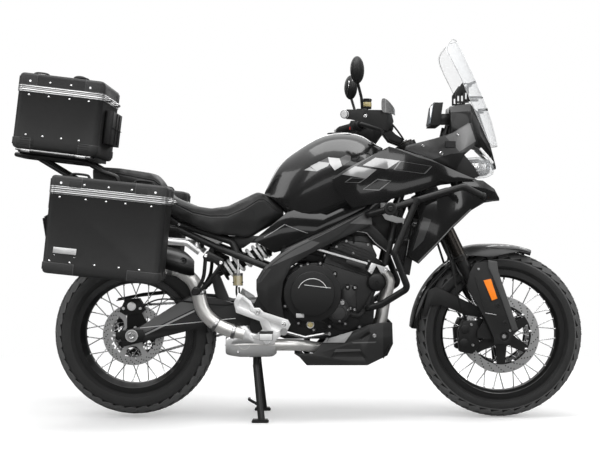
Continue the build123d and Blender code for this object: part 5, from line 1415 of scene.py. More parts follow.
class MOTORCYCLE_OT_nose(bpy.types.Operator):
    """Side panels, cowl, lamp, indicators and running lights"""
    bl_idname = "motorcycle.nose"
    bl_label = "Nose and lamps"

    def execute(self, context):
        soften("nose_fairing", 1.5, "nose_panel")
        soften("tank_shrouds", 1.5, "shroud_paint")
        soften("lower_fairing", 2, "lower_shroud_paint")
        fill = both_ways(plate([(510, 1004), (600, 1040), (640, 1032), (668, 1000),
                                (700, 950), (640, 926), (560, 955)], -112, -108, 1))
        add_piece(fill, "nose_inner_panels", "chassis", finishes["black_plastic"])
        arms = both_ways(join([tube([(650, 56, 1304), (672, 56, 1318), (690, 56, 1323)], 5.5,
                                    12),
                               tube([(700, 56, 1212), (738, 56, 1214)], 5.5, 12),
                               round_part([(0, -5), (9, -5), (9, 5), (0, 5)],
                                          (648, 56, 1304), (0, 1, 0), 24)]))
        add_piece(arms, "screen_arms", "chassis", finishes["black_steel"])
        lens = merged_copy("headlight")
        round_edges(lens, 8, 4, 20)
        finished(lens, "headlight", "clear_lens", 50)
        inner = merged_copy("headlight")
        middle = Vector((700, 0, 987)) * MM
        moved(inner, Matrix.Translation(middle) @ Matrix.Diagonal((0.78, 0.86, 0.8, 1))
              @ Matrix.Translation(-middle))
        round_edges(inner, 6, 3, 20)
        add_piece(inner, "headlight_housing", "chassis", finishes["lamp_silver"])
        beams, rims, covers = [], [], []
        for y in (-34, 34):
            beams.append(round_part([(0, -6), (25, -6), (25, 0), (20, 7), (12, 12), (0, 14)],
                                    (734, y, 985), (1, y / 90, 0)))
            rims.append(round_part([(25.5, -10), (30, -10), (30, 0), (28, 3), (25.5, 2)],
                                   (734, y, 985), (1, y / 90, 0)))
            covers.append(round_part([(0, 0), (11, 0), (11, 3), (8, 5), (0, 6)],
                                     (690, y * 2.2, 985), (0.2, y, 0)))
        add_piece(join(beams), "headlight_projectors", "chassis", finishes["lens_glass"])
        add_piece(join(rims + covers), "headlight_bezels", "chassis", finishes["bright_steel"])
        strips = both_ways(tube([(706, 66, 1062), (734, 58, 1034), (760, 48, 1004)], 6, 14))
        add_piece(strips, "running_lights", "chassis", finishes["white_light"])
        add_piece(merged_copy("lamps"), "lamps_base", "chassis", finishes["black_plastic"],
                  35, ("lamps",))
        amber = [block((556, 200, 1056.4), (588, 240.6, 1075.6), 4, 3),
                 block((-934.4, 106, 869), (-930, 150, 891), 2, 2)]
        add_piece(both_ways(join(amber)), "indicator_lenses", "chassis",
                  finishes["smoked_amber"])
        red = plate([(-949, 907), (-948, 886), (-953.4, 885.4), (-957.6, 907)], -58, 58, 1)
        add_piece(red, "tail_lens", "chassis", finishes["red_lens"])
        plugs = both_ways(join([
            round_part([(0, 0), (9, 0), (9, 4), (7, 6), (5, 6), (4, 3), (0, 3)],
                       (543, 163, 1034), (0.3, 1, 0.1)),
            bolt_heads([(610, 139, 1110), (470, 186, 1064)], 5, 3, (0.4, 1, 0.1))]))
        add_piece(plugs, "nose_plugs", "chassis", finishes["bright_steel"])
        return {"FINISHED"}


clutch_centre, alternator_centre = (48, 497), (48, 497)
cover_outline = [(-43, 553), (5, 604), (30, 612), (78, 615), (135, 577), (160, 502), (118, 367),
                 (53, 348), (-12, 378), (-66, 440), (-62, 512)]
front_outline = [(118, 372), (160, 505), (180, 530), (217, 529), (220, 430), (236, 366),
                 (190, 352), (150, 352)]


def rings(centre, face, out, radii, height=1.4, width=2.4):
    """Raised rings on a round cover."""
    bars = []
    for r in radii:
        y = face + out * height
        bars.append(lathe([(r - width, face - out), (r + width, face - out),
                           (r + width * 0.7, y), (r - width * 0.7, y)], centre, 64))
    return join(bars)


def bar(start_point, end_point, width, y_from, y_to, bevel=1.0):
    """Straight bar between two (x, z) points, seen from the side."""
    (x1, z1), (x2, z2) = start_point, end_point
    length = hypot(x2 - x1, z2 - z1)
    nx, nz = (z1 - z2) / length * width / 2, (x2 - x1) / length * width / 2
    return plate([(x1 + nx, z1 + nz), (x2 + nx, z2 + nz), (x2 - nx, z2 - nz),
                  (x1 - nx, z1 - nz)], y_from, y_to, bevel, 1)


class MOTORCYCLE_OT_engine(bpy.types.Operator):
    """Cast cases with covers, ribs, fins and bolts on both sides"""
    bl_idname = "motorcycle.engine"
    bl_label = "Engine"

    def execute(self, context):
        choice = context.scene.motorcycle_engine
        soften("engine_block", 3, "engine_black", 3, 25)

        def put(piece, name, finish="engine_black", slot="engine_alloy", smooth=35):
            add_piece(piece, name, "chassis", finishes[finish], smooth)

        flange = join([plate(cover_outline, -130, -117, 2.5, 2),
                       plate(front_outline, -126, -112, 2.5, 2)])
        put(flange, "right_cover_flange")
        clutch = join([
            lathe([(0, -160), (60, -160), (86, -158), (101, -150), (107, -138), (109.5, -122),
                   (109.5, -116), (0, -116)], clutch_centre, 96),
            lathe([(40, -165), (78, -165), (82.5, -168), (84, -173), (82, -184), (77, -191),
                   (66, -195.4), (40, -195.8), (0, -195.9), (0, -165)], clutch_centre, 96)])
        put(clutch, "clutch_cover", "engine_black", smooth=30)
        put(rings(clutch_centre, -195.8, -0.15, (44, 70), 1.0, 1.2), "clutch_cover_rings",
            "engine_grey")
        arc = [(48 + 58 * cos(a), -195.6, 497 + 58 * sin(a)) for a in
               [pi * (0.12 + 0.76 * i / 12) for i in range(13)]]
        put(tube(arc, 1.3, 6, order=2), "clutch_cover_line", "cast_silver")
        ribs = []
        for i in range(choice.cover_ribs):
            a = 2 * pi * i / choice.cover_ribs + 0.12
            ribs.append(bar((48 + 86 * cos(a), 497 + 86 * sin(a)),
                            (48 + 103 * cos(a), 497 + 103 * sin(a)), 3.4, -156, -146, 1.2))
        put(join(ribs), "clutch_cover_ribs")
        bosses = [(-43, 553), (5, 601), (30, 607), (78, 611), (135, 571), (150, 502), (114, 367),
                  (53, 354), (-6, 380), (-58, 446), (-56, 506), (195, 437), (211, 433),
                  (175, 378), (230, 366), (184, 520), (213, 518)]
        put(join([lathe([(0, -136), (8.4, -136), (10.5, -130), (10.5, -118), (0, -118)], p, 16)
                  for p in bosses]), "cover_bosses")
        put(bolt_heads([(x, -136, z) for x, z in bosses], 5.2, 5), "cover_bolts", "plain_steel")
        cap_bolts = [(48 + 76 * cos(a), -188, 497 + 76 * sin(a)) for a in
                     [2 * pi * (i + 0.5) / 6 for i in range(6)]]
        put(bolt_heads(cap_bolts, 4, 4), "clutch_cap_bolts", "dark_alloy")

        small = join([
            lathe([(0, -169), (30, -169), (38, -166), (43, -160), (45, -148), (45, -118),
                   (0, -118)], (149, 427), 48),
            lathe([(0, -172), (10, -172), (13, -169), (13, -160), (0, -160)], (163, 461), 32)])
        put(small, "water_pump_cover", "engine_grey", smooth=30)
        put(rings((151, 421), -169, -1, (25,), 1.2, 1.6), "water_pump_ring", "dark_alloy")
        put(bolt_heads([(163, -172, 461)], 9, 5), "pump_plug", "plain_steel")
        put(bolt_heads([(149 + 37 * cos(a), -166, 427 + 37 * sin(a)) for a in (0.2, 3.3, 4.8)],
                       4, 4), "pump_bolts", "plain_steel")
        hose = tube([(186, -140, 420), (222, -140, 403), (248, -130, 424), (272, -118, 470),
                     (300, -104, 540)], 10, 14)
        put(hose, "coolant_hose", "soft_rubber", "black_plastic")
        sight = lathe([(0, -132), (11, -132), (13.5, -134), (15, -133), (15, -126), (0, -126)],
                      (40, 374), 32)
        put(sight, "sight_glass_ring", "cast_silver")
        put(lathe([(0, -134.5), (10, -133.6), (11, -131), (0, -131)], (40, 374), 24),
            "sight_glass", "yellow_fluid", "lamp_lens")
        put(plate([(-15, 404), (16, 404), (16, 420), (-15, 420)], -175.4, -166, 1), "engine_label",
            "blank_label")
        webs = [bar((-36, 492), (7, 449), 5, -150, -126), bar((138, 467), (123, 480), 5, -146,
                                                              -126),
                bar((-60, 470), (-20, 430), 5, -140, -124), bar((70, 400), (100, 380), 5, -140,
                                                                -126)]
        put(join(webs), "cover_webs")

        fins = []
        for i in range(choice.fins):        # rows of fins along the slanted cylinders
            t = i / (choice.fins - 1)
            x1, z1 = 100 - 0 * t, 566 + 118 * t
            x2, z2 = 262 + 30 * t, 500 + 112 * t
            fins.append(bar((x1 + 16, z1 - 8), (x2 - 6, z2), 6, -112, 112, 1.2))
        put(join(fins), "cylinder_fins")
        head = plate([(124, 672), (278, 606), (300, 640), (276, 690), (168, 706)], -118, 118, 5,
                     3)
        put(head, "cylinder_head_cover", "engine_grey")
        put(join([bar((158, 698 - 11 * i), (286, 652 - 11 * i), 4, -124, -117)
                  for i in range(4)]), "head_cover_ribs", "engine_grey")
        put(bolt_heads([(x, -118, z) for x, z in ((142, 676), (206, 650), (268, 622),
                                                  (180, 698), (264, 684))], 5.5, 5),
            "head_bolts", "plain_steel")
        cam = lathe([(0, -142), (22, -142), (31, -139), (36, -132), (37, -104), (0, -104)],
                    (297, 539), 48)
        put(cam, "oil_filter", "engine_black", smooth=30)
        put(bolt_heads([(297, -142, 539)], 9, 5), "oil_filter_nut", "dark_alloy")
        bracket = plate([(277, 614), (342, 594), (339, 580), (314, 572), (296, 603),
                         (278, 569), (261, 581)], -132, -126, 1.2)
        put(bracket, "engine_bracket", "cast_silver")
        put(bolt_heads([(330, -132, 588), (270, -132, 582)], 5, 4), "bracket_bolts",
            "bright_steel")
        put(bar((60, 669), (261, 610), 9, -146, -138, 2), "engine_hanger", "cast_silver")
        put(block((-34, -74, 610), (124, 74, 694), 9, 3), "intake_body", "engine_black")
        put(join([tube([(-30, -84, 606), (-10, -100, 640), (40, -98, 656), (96, -92, 640)], 9,
                       14),
                  tube([(-50, -96, 590), (-20, -108, 622), (24, -108, 626)], 5, 10)]),
            "intake_hoses", "soft_rubber", "black_plastic")
        put(join([round_part([(0, -9), (10, -9), (10, 9), (0, 9)], (-18, -108, 626),
                             (1, 0, 0.3), 20),
                  round_part([(0, -3), (13, -3), (13, 3), (0, 3)], (96, -94, 640),
                             (1, 0, -0.3), 20)]), "hose_fittings", "plain_steel")
        brace = [(167, 716), (181, 742), (230, 782), (284, 760), (359, 676), (354, 640),
                 (292, 689), (257, 731), (200, 733)]
        put(both_ways(plate(brace, -137, -130, 2)), "frame_braces", "black_steel",
            "black_plastic")
        # A pale line along each brace plate's edge: painted highlight.
        put(both_ways(tube([(176, -137.5, 741), (256, -137.5, 731), (292, -137.5, 690),
                            (350, -137.5, 645)], 1.3, 6, order=2)), "frame_brace_edge_highlights",
            "pale_line", "black_plastic")
        put(tube([(16, -196, 531), (118, -196, 519)], 1.1, 6, order=2), "cover_cast_line",
            "cast_silver")
        put(plate([(178, 614), (250, 589), (256, 609), (179, 626)], -158, -146, 2),
            "coil_cover", "engine_grey")
        spark = [tube([(208, -118, 690), (214, -128, 720), (190, -120, 752), (160, -96, 762)], 4,
                      8)]
        put(join(spark), "ignition_lead", "soft_rubber", "black_plastic")

        alternator = join([
            lathe([(0, 166), (62, 166), (84, 163), (94, 154), (96, 140), (96, 116), (0, 116)],
                  alternator_centre, 96),
            lathe([(0, 183), (56, 183), (66, 180), (69.5, 172), (69.5, 160), (0, 160)],
                  alternator_centre, 64)])
        put(alternator, "alternator_cover", smooth=30)
        put(plate([(-66, 440), (-30, 384), (50, 352), (118, 372), (160, 470), (150, 560),
                   (60, 606), (-30, 590), (-70, 520)], 114, 128, 2.5), "left_cover_flange")
        left = [(-62, 520), (-56, 446), (-24, 392), (50, 358), (112, 378), (154, 470),
                (144, 552), (60, 598), (-26, 582)]
        put(join([lathe([(0, 134), (8.4, 134), (10.5, 128), (10.5, 118), (0, 118)], p, 16)
                  for p in left]), "left_cover_bosses")
        put(bolt_heads([(x, 134, z) for x, z in left], 5.2, 5, (0, 1, 0)), "left_cover_bolts",
            "plain_steel")
        put(bolt_heads([(48 + 62 * cos(a), 178, 497 + 62 * sin(a)) for a in
                        [2 * pi * i / 5 for i in range(5)]], 4.4, 6, (0, 1, 0)),
            "alternator_bolts", "plain_steel")
        return {"FINISHED"}


class MotorcycleEngine(bpy.types.PropertyGroup):
    cover_ribs: IntProperty(name="Cover ribs", description="Short ribs round the clutch cover",
                            default=22, min=0, max=60)
    fins: IntProperty(name="Fins", description="Cooling fins on each cylinder", default=6,
                      min=2, max=12)


class MOTORCYCLE_OT_exhaust(bpy.types.Operator):
    """Header pipes, collector box, link pipe and silencer with its heat shield"""
    bl_idname = "motorcycle.exhaust"
    bl_label = "Exhaust"

    def execute(self, context):
        def put(piece, name, finish="pipe_steel", slot="exhaust_steel", smooth=50,
                replaces=()):
            add_piece(piece, name, "chassis", finishes[finish], smooth, replaces)

        box = skin([[(x, y, z) for y, z in ((-172, lo + 14), (-172, hi - 14), (-164, hi),
                                            (-148, hi), (-140, hi - 14), (-140, lo + 14),
                                            (-148, lo), (-164, lo))]
                    for x, lo, hi in ((-286, 270, 324), (-276, 260, 332), (-240, 254, 344),
                                      (-214, 253, 352), (-170, 253, 342), (-130, 253, 333),
                                      (-104, 256, 326), (-90, 268, 318))], levels=2)
        put(box, "collector_box", "collector_steel", replaces=("exhaust_pipes",))
        seam = tube([(-288, -156, 297), (-262, -173, 298), (-200, -174, 302), (-120, -174, 300),
                     (-88, -170, 296)], 2.2, 8)
        put(seam, "collector_seam", "pipe_steel")
        put(rings((-214, 304), -171.4, -1, (22,), 1.5, 2), "collector_ring", "pipe_steel")
        put(bolt_heads([(-238, -172, 326), (-134, -172, 314), (-238, -172, 272)], 5, 4),
            "collector_bolts", "bright_steel")
        neck = skin([[(x, y, z) for y, z in ((-172, 300), (-170, hi - 8), (-163, hi), (-149, hi),
                                             (-142, hi - 8), (-140, 300))]
                     for x, hi in ((-262, 338), (-246, 352), (-226, 368), (-206, 368),
                                   (-192, 354), (-178, 338))], levels=2)
        put(neck, "collector_neck", "collector_steel")
        link = tube([(-216, -156, 338), (-262, -156, 350), (-308, -156, 368), (-348, -156, 396),
                     (-376, -157, 432), (-388, -157, 476), (-396, -158, 520), (-422, -159, 560),
                     (-470, -160, 590)], 27, 36)
        put(link, "link_pipe", "pipe_steel")
        for n, (place, direction, radius) in enumerate((
                ((-256, -156, 348), (-1, 0, 0.28), 29), ((-324, -156, 377), (-1, 0, 0.6), 29),
                ((-391, -157.5, 498), (-0.14, 0, 1), 29))):
            band = round_part([(radius - 3, -7), (radius, -7), (radius + 1.2, -5.5),
                               (radius + 1.2, 5.5), (radius, 7), (radius - 3, 7)], place,
                              direction)
            put(band, f"exhaust_band_{n}", "plain_steel")
        axis = Vector((-850 + 470, -4, 700 - 612)).normalized()

        def on_can(t):
            return (-470 - 380 * t, -160 - 4 * t, 612 + 88 * t)

        can = round_part([(20, -14), (40, -12), (47, 2), (50.6, 14), (50.6, 362), (48, 374),
                          (42, 385), (26, 390), (20, 390)], on_can(0), axis, 48)
        put(can, "silencer_can", "pipe_steel", replaces=("silencer",))
        bands = [round_part([(49, d), (52, d), (52.4, d + 2), (52.4, d + 16), (52, d + 18),
                             (49, d + 18)], on_can(0), axis, 48) for d in (12, 176, 340)]
        put(join(bands), "silencer_bands", "plain_steel")
        cone = round_part([(20, -50), (25, -50), (30, -36), (42, -12), (46, -2), (40, 0)],
                          on_can(0), axis, 48)
        put(cone, "silencer_cone", "cast_silver")
        tail = round_part([(17, 380), (23, 380), (23, 432), (21.5, 436), (19, 436), (19, 420)],
                          on_can(0), axis, 40)
        put(tail, "tail_pipe", "dark_alloy")
        rows = []
        for x, middle, radius, low, high in (
                (-790, 686, 55, 654, 738), (-700, 665, 56, 636, 718), (-620, 647, 56, 622, 700),
                (-547, 630, 56, 603, 683), (-500, 619, 56, 589, 674), (-457, 609, 56, 576, 664),
                (-430, 603, 51, 568, 648), (-404, 596, 42, 566, 624)):
            first, last = asin((low - middle) / radius), asin((high - middle) / radius)
            angles = [first + (last - first) * i / 7 for i in range(8)]
            rows.append([(x, -160 - radius * cos(a), middle + radius * sin(a)) for a in angles])
        shield = skin(rows, wrap=False, levels=2)
        apply_modifier(shield, "SOLIDIFY", thickness=2.6 * MM, offset=0)
        put(shield, "silencer_shield", "shield_steel", smooth=35)
        pocket = round_part([(8, 0), (12, 0), (13, 2), (12, 3.4), (8, 2.4)], (-444, -213, 624),
                            (0, -1, 0.2), 28)
        put(pocket, "shield_boss", "shield_steel")
        put(bolt_heads([(-444, -213, 624), (-640, -210, 656), (-770, -214, 688)], 6, 5),
            "shield_bolts", "dark_alloy")
        headers = []
        for y in (-64, 56):
            headers.append(tube([(300, y, 590), (348, y, 566), (352, y, 520), (334, y, 470),
                                 (322, y, 380), (296, y, 310), (240, y, 280),
                                 (150, y * 0.6 - 32, 272)], 21, 28))
            headers.append(round_part([(20, -4), (33, -4), (33, 6), (27, 10), (20, 10)],
                                      (302, y, 592), (1, 0, -0.5)))
        tail = tube([(165, -70, 276), (70, -84, 278), (8, -140, 296), (-40, -152, 298),
                     (-96, -155, 298)], 22.6, 28)
        put(join([*headers, tail]), "header_pipes", "pipe_steel")
        return {"FINISHED"}


shock_low, shock_high = Vector((-334, -52, 556)), Vector((-92, -52, 692))
wheel_sprocket, drive_sprocket = (rear_centre, 98), ((-92, 425), 37)
chain_y = 88


def helix(start_point, end_point, radius, turns, wire, sides=8):
    """Spring of round wire between two points (mm), its end coils closed up."""
    run = end_point - start_point
    steps = int(turns * 20)
    points = []
    for i in range(steps + 1):
        t = i / steps
        rise = t + 0.055 * sin(2 * pi * t) * -1
        angle = 2 * pi * turns * t
        points.append((radius * cos(angle), radius * sin(angle), run.length * rise))
    coil = tube(points, wire, sides, order=2)
    return moved(coil, aim(start_point, run))


class MOTORCYCLE_OT_rear_shock(bpy.types.Operator):
    """Damper with a pale coil spring, collars and eyes"""
    bl_idname = "motorcycle.rear_shock"
    bl_label = "Rear shock"

    def execute(self, context):
        run = shock_high - shock_low
        length = run.length
        choice = context.scene.motorcycle_chassis
        body = round_part([(0, 8), (9, 8), (9, length * 0.13), (30, length * 0.13),
                           (37, length * 0.135), (37, length * 0.16), (24, length * 0.17),
                           (22, length * 0.3), (22, length * 0.8), (26, length * 0.82),
                           (37, length * 0.82), (37, length * 0.855), (30, length * 0.86),
                           (22, length * 0.9), (18, length * 0.95), (0, length * 0.95)],
                          shock_low, run, 40)
        eyes = [round_part([(6.4, -12.8), (15, -12.8), (15, 12.8), (6.4, 12.8)], p, (0, 1, 0), 32)
                for p in (shock_low, shock_high)]
        add_piece(join([body, *eyes]), "shock_body", "chassis", finishes["dark_alloy"],
                  40, ("rear_shock",))
        coil = helix(shock_low + run * 0.195, shock_low + run * 0.785, 31.5,
                     choice.spring_turns, 6)
        add_piece(coil, "shock_spring", "chassis", finishes["spring_white"], 60)
        collar = round_part([(22, length * 0.8), (39, length * 0.8), (39, length * 0.815),
                             (22, length * 0.815)], shock_low, run, 24)
        add_piece(collar, "shock_collar", "chassis", finishes["plain_steel"])
        cup = upright([(0, -24), (17, -24), (19, -22), (19, 14), (17.5, 15), (0, 15)],
                      (-240, -140, 550))
        lid = upright([(0, 15), (19, 15), (19, 22), (17, 24), (0, 24)], (-240, -140, 550))
        add_piece(cup, "rear_reservoir_cup", "chassis", finishes["yellow_fluid"])
        add_piece(lid, "rear_reservoir_lid", "chassis", finishes["black_plastic"])
        band = join([block((-260, -152, 536), (-220, -128, 541), 1),
                     tube([(-244, -146, 526), (-250, -150, 490), (-232, -160, 462)], 4, 8)])
        add_piece(band, "rear_reservoir_stay", "chassis", finishes["black_plastic"])
        return {"FINISHED"}


def belt(extra, count):
    """Evenly spaced (x, z, angle) places round both sprockets, that much outside them."""
    (a, ra), (b, rb) = wheel_sprocket, drive_sprocket
    ra, rb = ra + extra, rb + extra
    dx, dz = b[0] - a[0], b[1] - a[1]
    along, lean = atan2(dz, dx), asin((ra - rb) / hypot(dx, dz))
    upper, lower = along + pi / 2 - lean, along - pi / 2 + lean
    line = []
    for i in range(41):
        t = upper + (2 * pi - (upper - lower)) * i / 40
        line.append((a[0] + ra * cos(t), a[1] + ra * sin(t)))
    for i in range(21):
        t = lower + (upper - lower) * i / 20
        line.append((b[0] + rb * cos(t), b[1] + rb * sin(t)))
    line.append(line[0])
    lengths = [hypot(q[0] - p[0], q[1] - p[1]) for p, q in zip(line, line[1:])]
    places, segment, used = [], 0, 0.0
    for n in range(count):
        want = sum(lengths) * n / count
        while used + lengths[segment] < want:
            used += lengths[segment]
            segment += 1
        (x1, z1), (x2, z2) = line[segment], line[segment + 1]
        t = (want - used) / lengths[segment]
        places.append((x1 + (x2 - x1) * t, z1 + (z2 - z1) * t, atan2(z2 - z1, x2 - x1)))
    return places


def toothed(centre, radius, teeth, y, width, bore):
    """Sprocket: a ring with a tooth for every link."""
    ring = lathe([(bore, y - width), (radius - 5, y - width), (radius - 5, y + width),
                  (bore, y + width)], centre, 80)
    tooth = plate([(radius - 7, -5.4), (radius - 1, -4), (radius + 2.5, -1.4),
                   (radius + 2.5, 1.4), (radius - 1, 4), (radius - 7, 5.4)], y - width,
                  y + width)
    place = Matrix.Translation(Vector((centre[0], 0, centre[1])) * MM)
    return join([ring, copies(tooth, [place @ Matrix.Rotation(2 * pi * i / teeth, 4, "Y")
                                      for i in range(teeth)])])


class MOTORCYCLE_OT_drive(bpy.types.Operator):
    """Chain of separate links, sprocket teeth, chain adjusters and axle nuts"""
    bl_idname = "motorcycle.drive"
    bl_label = "Drive"

    def execute(self, context):
        count = context.scene.motorcycle_chassis.chain_links
        links = {0: [], 1: []}
        for n, (x, z, angle) in enumerate(belt(6.5, count)):
            links[n % 2].append(Matrix.Translation(Vector((x, chain_y, z)) * MM)
                                @ Matrix.Rotation(-angle, 4, "Y"))
        shape = [(-13, 0), (-10, 4.6), (-4, 4.9), (0, 3.6), (4, 4.9), (10, 4.6), (13, 0),
                 (10, -4.6), (4, -4.9), (0, -3.6), (-4, -4.9), (-10, -4.6)]
        wide = join([plate(shape, y, y + 1.6) for y in (-7.2, 5.6)]
                    + [lathe([(0, -7.4), (2.4, -7.4), (2.4, 7.4), (0, 7.4)], (x, 0), 8)
                       for x in (-8, 8)])
        narrow = join([plate(shape, y, y + 1.6) for y in (-5, 3.4)]
                      + [lathe([(0, -3.4), (4.6, -3.4), (4.6, 3.4), (0, 3.4)], (x, 0), 10)
                         for x in (-8, 8)])
        chain = join([copies(wide, links[0]), copies(narrow, links[1]),
                      toothed(drive_sprocket[0], 38, 15, chain_y, 2.8, 0),
                      lathe([(0, 68), (16, 68), (16, 97), (0, 97)], drive_sprocket[0], 24)])
        add_piece(chain, "drive_chain_links", "chassis", finishes["plain_steel"],
                  40, ("drive_chain",))
        teeth = toothed(rear_centre, 98, 40, chain_y, 2.8, 86)
        add_piece(teeth, "rear_sprocket_teeth", "rear_wheel", finishes["dark_alloy"])
        soften("swingarm", 4, "swingarm_paint_with_highlight", 3, 25)
        ax, az = rear_centre
        both = []
        shells = []
        for side in (-1, 1):
            def y(a, b):
                return sorted((side * a, side * b))
            shells.append(plate([(ax - 42, az - 22), (ax + 44, az - 20), (ax + 52, az + 2),
                                 (ax + 44, az + 24), (ax - 42, az + 20)], *y(125, 131), 2))
            both.append(lathe([(13, y(131, 137)[0]), (24, y(131, 137)[0]), (24, y(131, 137)[1]),
                               (13, y(131, 137)[1])], rear_centre, 40))
            both.append(lathe([(0, side * 146), (8, side * 146), (11, side * 144),
                               (11, side * 134), (0, side * 134)], rear_centre, 24))
            shells.append(plate([(ax - 64, az - 14), (ax - 46, az - 16), (ax - 46, az + 14),
                                 (ax - 64, az + 12)], *y(104, 124), 2))
            both.append(tube([(ax - 76, side * 113, az), (ax - 60, side * 113, az)], 4, 12))
            both.append(bar((-620, 361), (-250, 398), 2.4, *y(126, 127), 0.5))
        add_piece(join(shells), "chain_adjusters", "chassis", finishes["dark_alloy"])
        add_piece(join(both), "adjuster_bolts", "chassis", finishes["cast_silver"])
        nuts = bolt_heads([(*p[:1], -144, p[1]) for p in (rear_centre,)], 15, 7)
        add_piece(join([nuts, bolt_heads([(ax, 144, az)], 15, 7, (0, 1, 0))]), "rear_axle_nuts",
                  "chassis", finishes["bright_steel"])
        soften("rear_brake_caliper", 2, "dark_alloy")
        caps = join([lathe([(0, -108.5), (14, -108.5), (17, -106), (17, -98), (0, -98)],
                           (ax - 4, az + 112), 32),
                     bolt_heads([(ax - 36, -104, az + 104), (ax + 30, -104, az + 104),
                                 (ax + 10, -104, az + 30)], 6, 5)])
        add_piece(caps, "rear_caliper_caps", "chassis", finishes["cast_silver"])
        hose = tube([(ax + 44, -112, az + 112), (ax + 90, -124, az + 150),
                     (ax + 220, -128, az + 130), (ax + 380, -128, az + 116),
                     (-230, -140, 470), (-236, -142, 520)], 3.4, 8)
        add_piece(hose, "rear_brake_hose", "chassis", finishes["soft_rubber"])
        return {"FINISHED"}


class MOTORCYCLE_OT_footrests(bpy.types.Operator):
    """Cast hangers with pockets and bolts, ribbed rests, pedal and lever rubbers"""
    bl_idname = "motorcycle.footrests"
    bl_label = "Footrests"

    def execute(self, context):
        hangers = merged_copy("footrests")
        pick(hangers, lambda vert: vert.co.x < -0.3, "VERT")
        bpy.ops.mesh.delete(type="VERT")
        start()
        cutters = []
        for side in (-1, 1):
            low, high = sorted((side * 181, side * 190))
            cutters.append(plate([(-120, 392), (-64, 372), (-84, 350), (-112, 364)], low, high,
                                 2))
            cutters.append(plate([(-226, 478), (-196, 456), (-190, 428), (-238, 448)], low,
                                 high, 2))
        carve(hangers, join(cutters))
        round_edges(hangers, 2, 2, 30)
        finished(hangers, "footrests", "cast_silver")
        trims, rubbers, bolts, dark = [], [], [], []
        for side in (-1, 1):
            places = [(-160, 184 * side, 426), (-62, 184 * side, 378)]
            bolts.append(bolt_heads(places, 8, 7, (0, side, 0)))
            for x, y, z in places:
                trims.append(round_part([(9, 0), (14, 0), (14, 3), (12, 4.4), (9, 4.4)],
                                        (x, y, z), (0, side, 0), 32))
            trims.append(round_part([(0, 0), (15, 0), (15, 4), (12, 7), (0, 7)],
                                    (-128, side * 184, 318), (0, side, 0), 32))
            for i in range(9):
                y1, y2 = sorted((side * (196 + i * 9), side * (201 + i * 9)))
                rubbers.append(block((-154, y1, 349), (-102, y2, 355), 1.2))
            y1, y2 = sorted((side * 270, side * 275.5))
            dark.append(block((-153, y1, 325), (-103, y2, 353), 3))
            rubbers.append(round_part([(12, 0), (14, 2), (14, 58), (12, 60), (9, 60), (9, 0)],
                                      (-396, side * 204, 508), (0, side, 0), 24))
            dark.append(plate([(-246, 452), (-176, 434), (-150, 400), (-144, 380), (-150, 376),
                               (-168, 394), (-236, 418)], *sorted((side * 170, side * 174)),
                              1.5))
        rubbers.append(tube([(96, -146.5, 345), (110, -172, 346), (113, -216, 346)], 7.5, 14))
        rubbers.append(tube([(95, 205, 352), (97, 236, 352)], 8, 14))
        self.pillion_rests()
        add_piece(join(trims), "hanger_bosses", "chassis", finishes["cast_silver"])
        add_piece(join(bolts), "hanger_bolts", "chassis", finishes["bright_steel"])
        add_piece(join(rubbers), "footrest_rubbers", "chassis", finishes["soft_rubber"])
        add_piece(join(dark), "footrest_guards", "chassis", finishes["black_plastic"])
        return {"FINISHED"}

    def pillion_rests(self):
        """Bent black tubes that hold the pillion's footrests, with their bolts."""
        frames, bolts = [], []
        for side in (-1, 1):
            y = side * 194
            frames.append(round_part([(0, 0), (10, 0), (10, 70), (0, 70)],
                                     (-343, side * 122, 664), (0, side, -0.13), 20))
            frames.append(tube([(-361, y, 642), (-364, y, 600), (-368, y, 562), (-378, y, 538),
                                (-394, y, 512)], 7.5, 16))
            frames.append(tube([(-304, y, 606), (-340, y, 550), (-382, y, 508)], 7.5, 16))
            frames.append(plate([(-372, 640), (-354, 662), (-292, 630), (-290, 608),
                                 (-310, 600), (-330, 616), (-352, 620), (-368, 624)],
                                *sorted((side * 188, side * 200)), 2.5))
            frames.append(round_part([(0, 0), (15, 0), (17, 2), (17, 14), (12, 16), (12, 70),
                                      (0, 70)], (-396, side * 186, 508), (0, side, 0), 24))
            bolts.append(bolt_heads([(-360, side * 200, 643), (-302, side * 200, 616)], 7, 6,
                                    (0, side, 0)))
        add_piece(join(frames), "pillion_rest_frames", "chassis", finishes["black_steel"])
        add_piece(join(bolts), "pillion_rest_bolts", "chassis", finishes["bright_steel"])


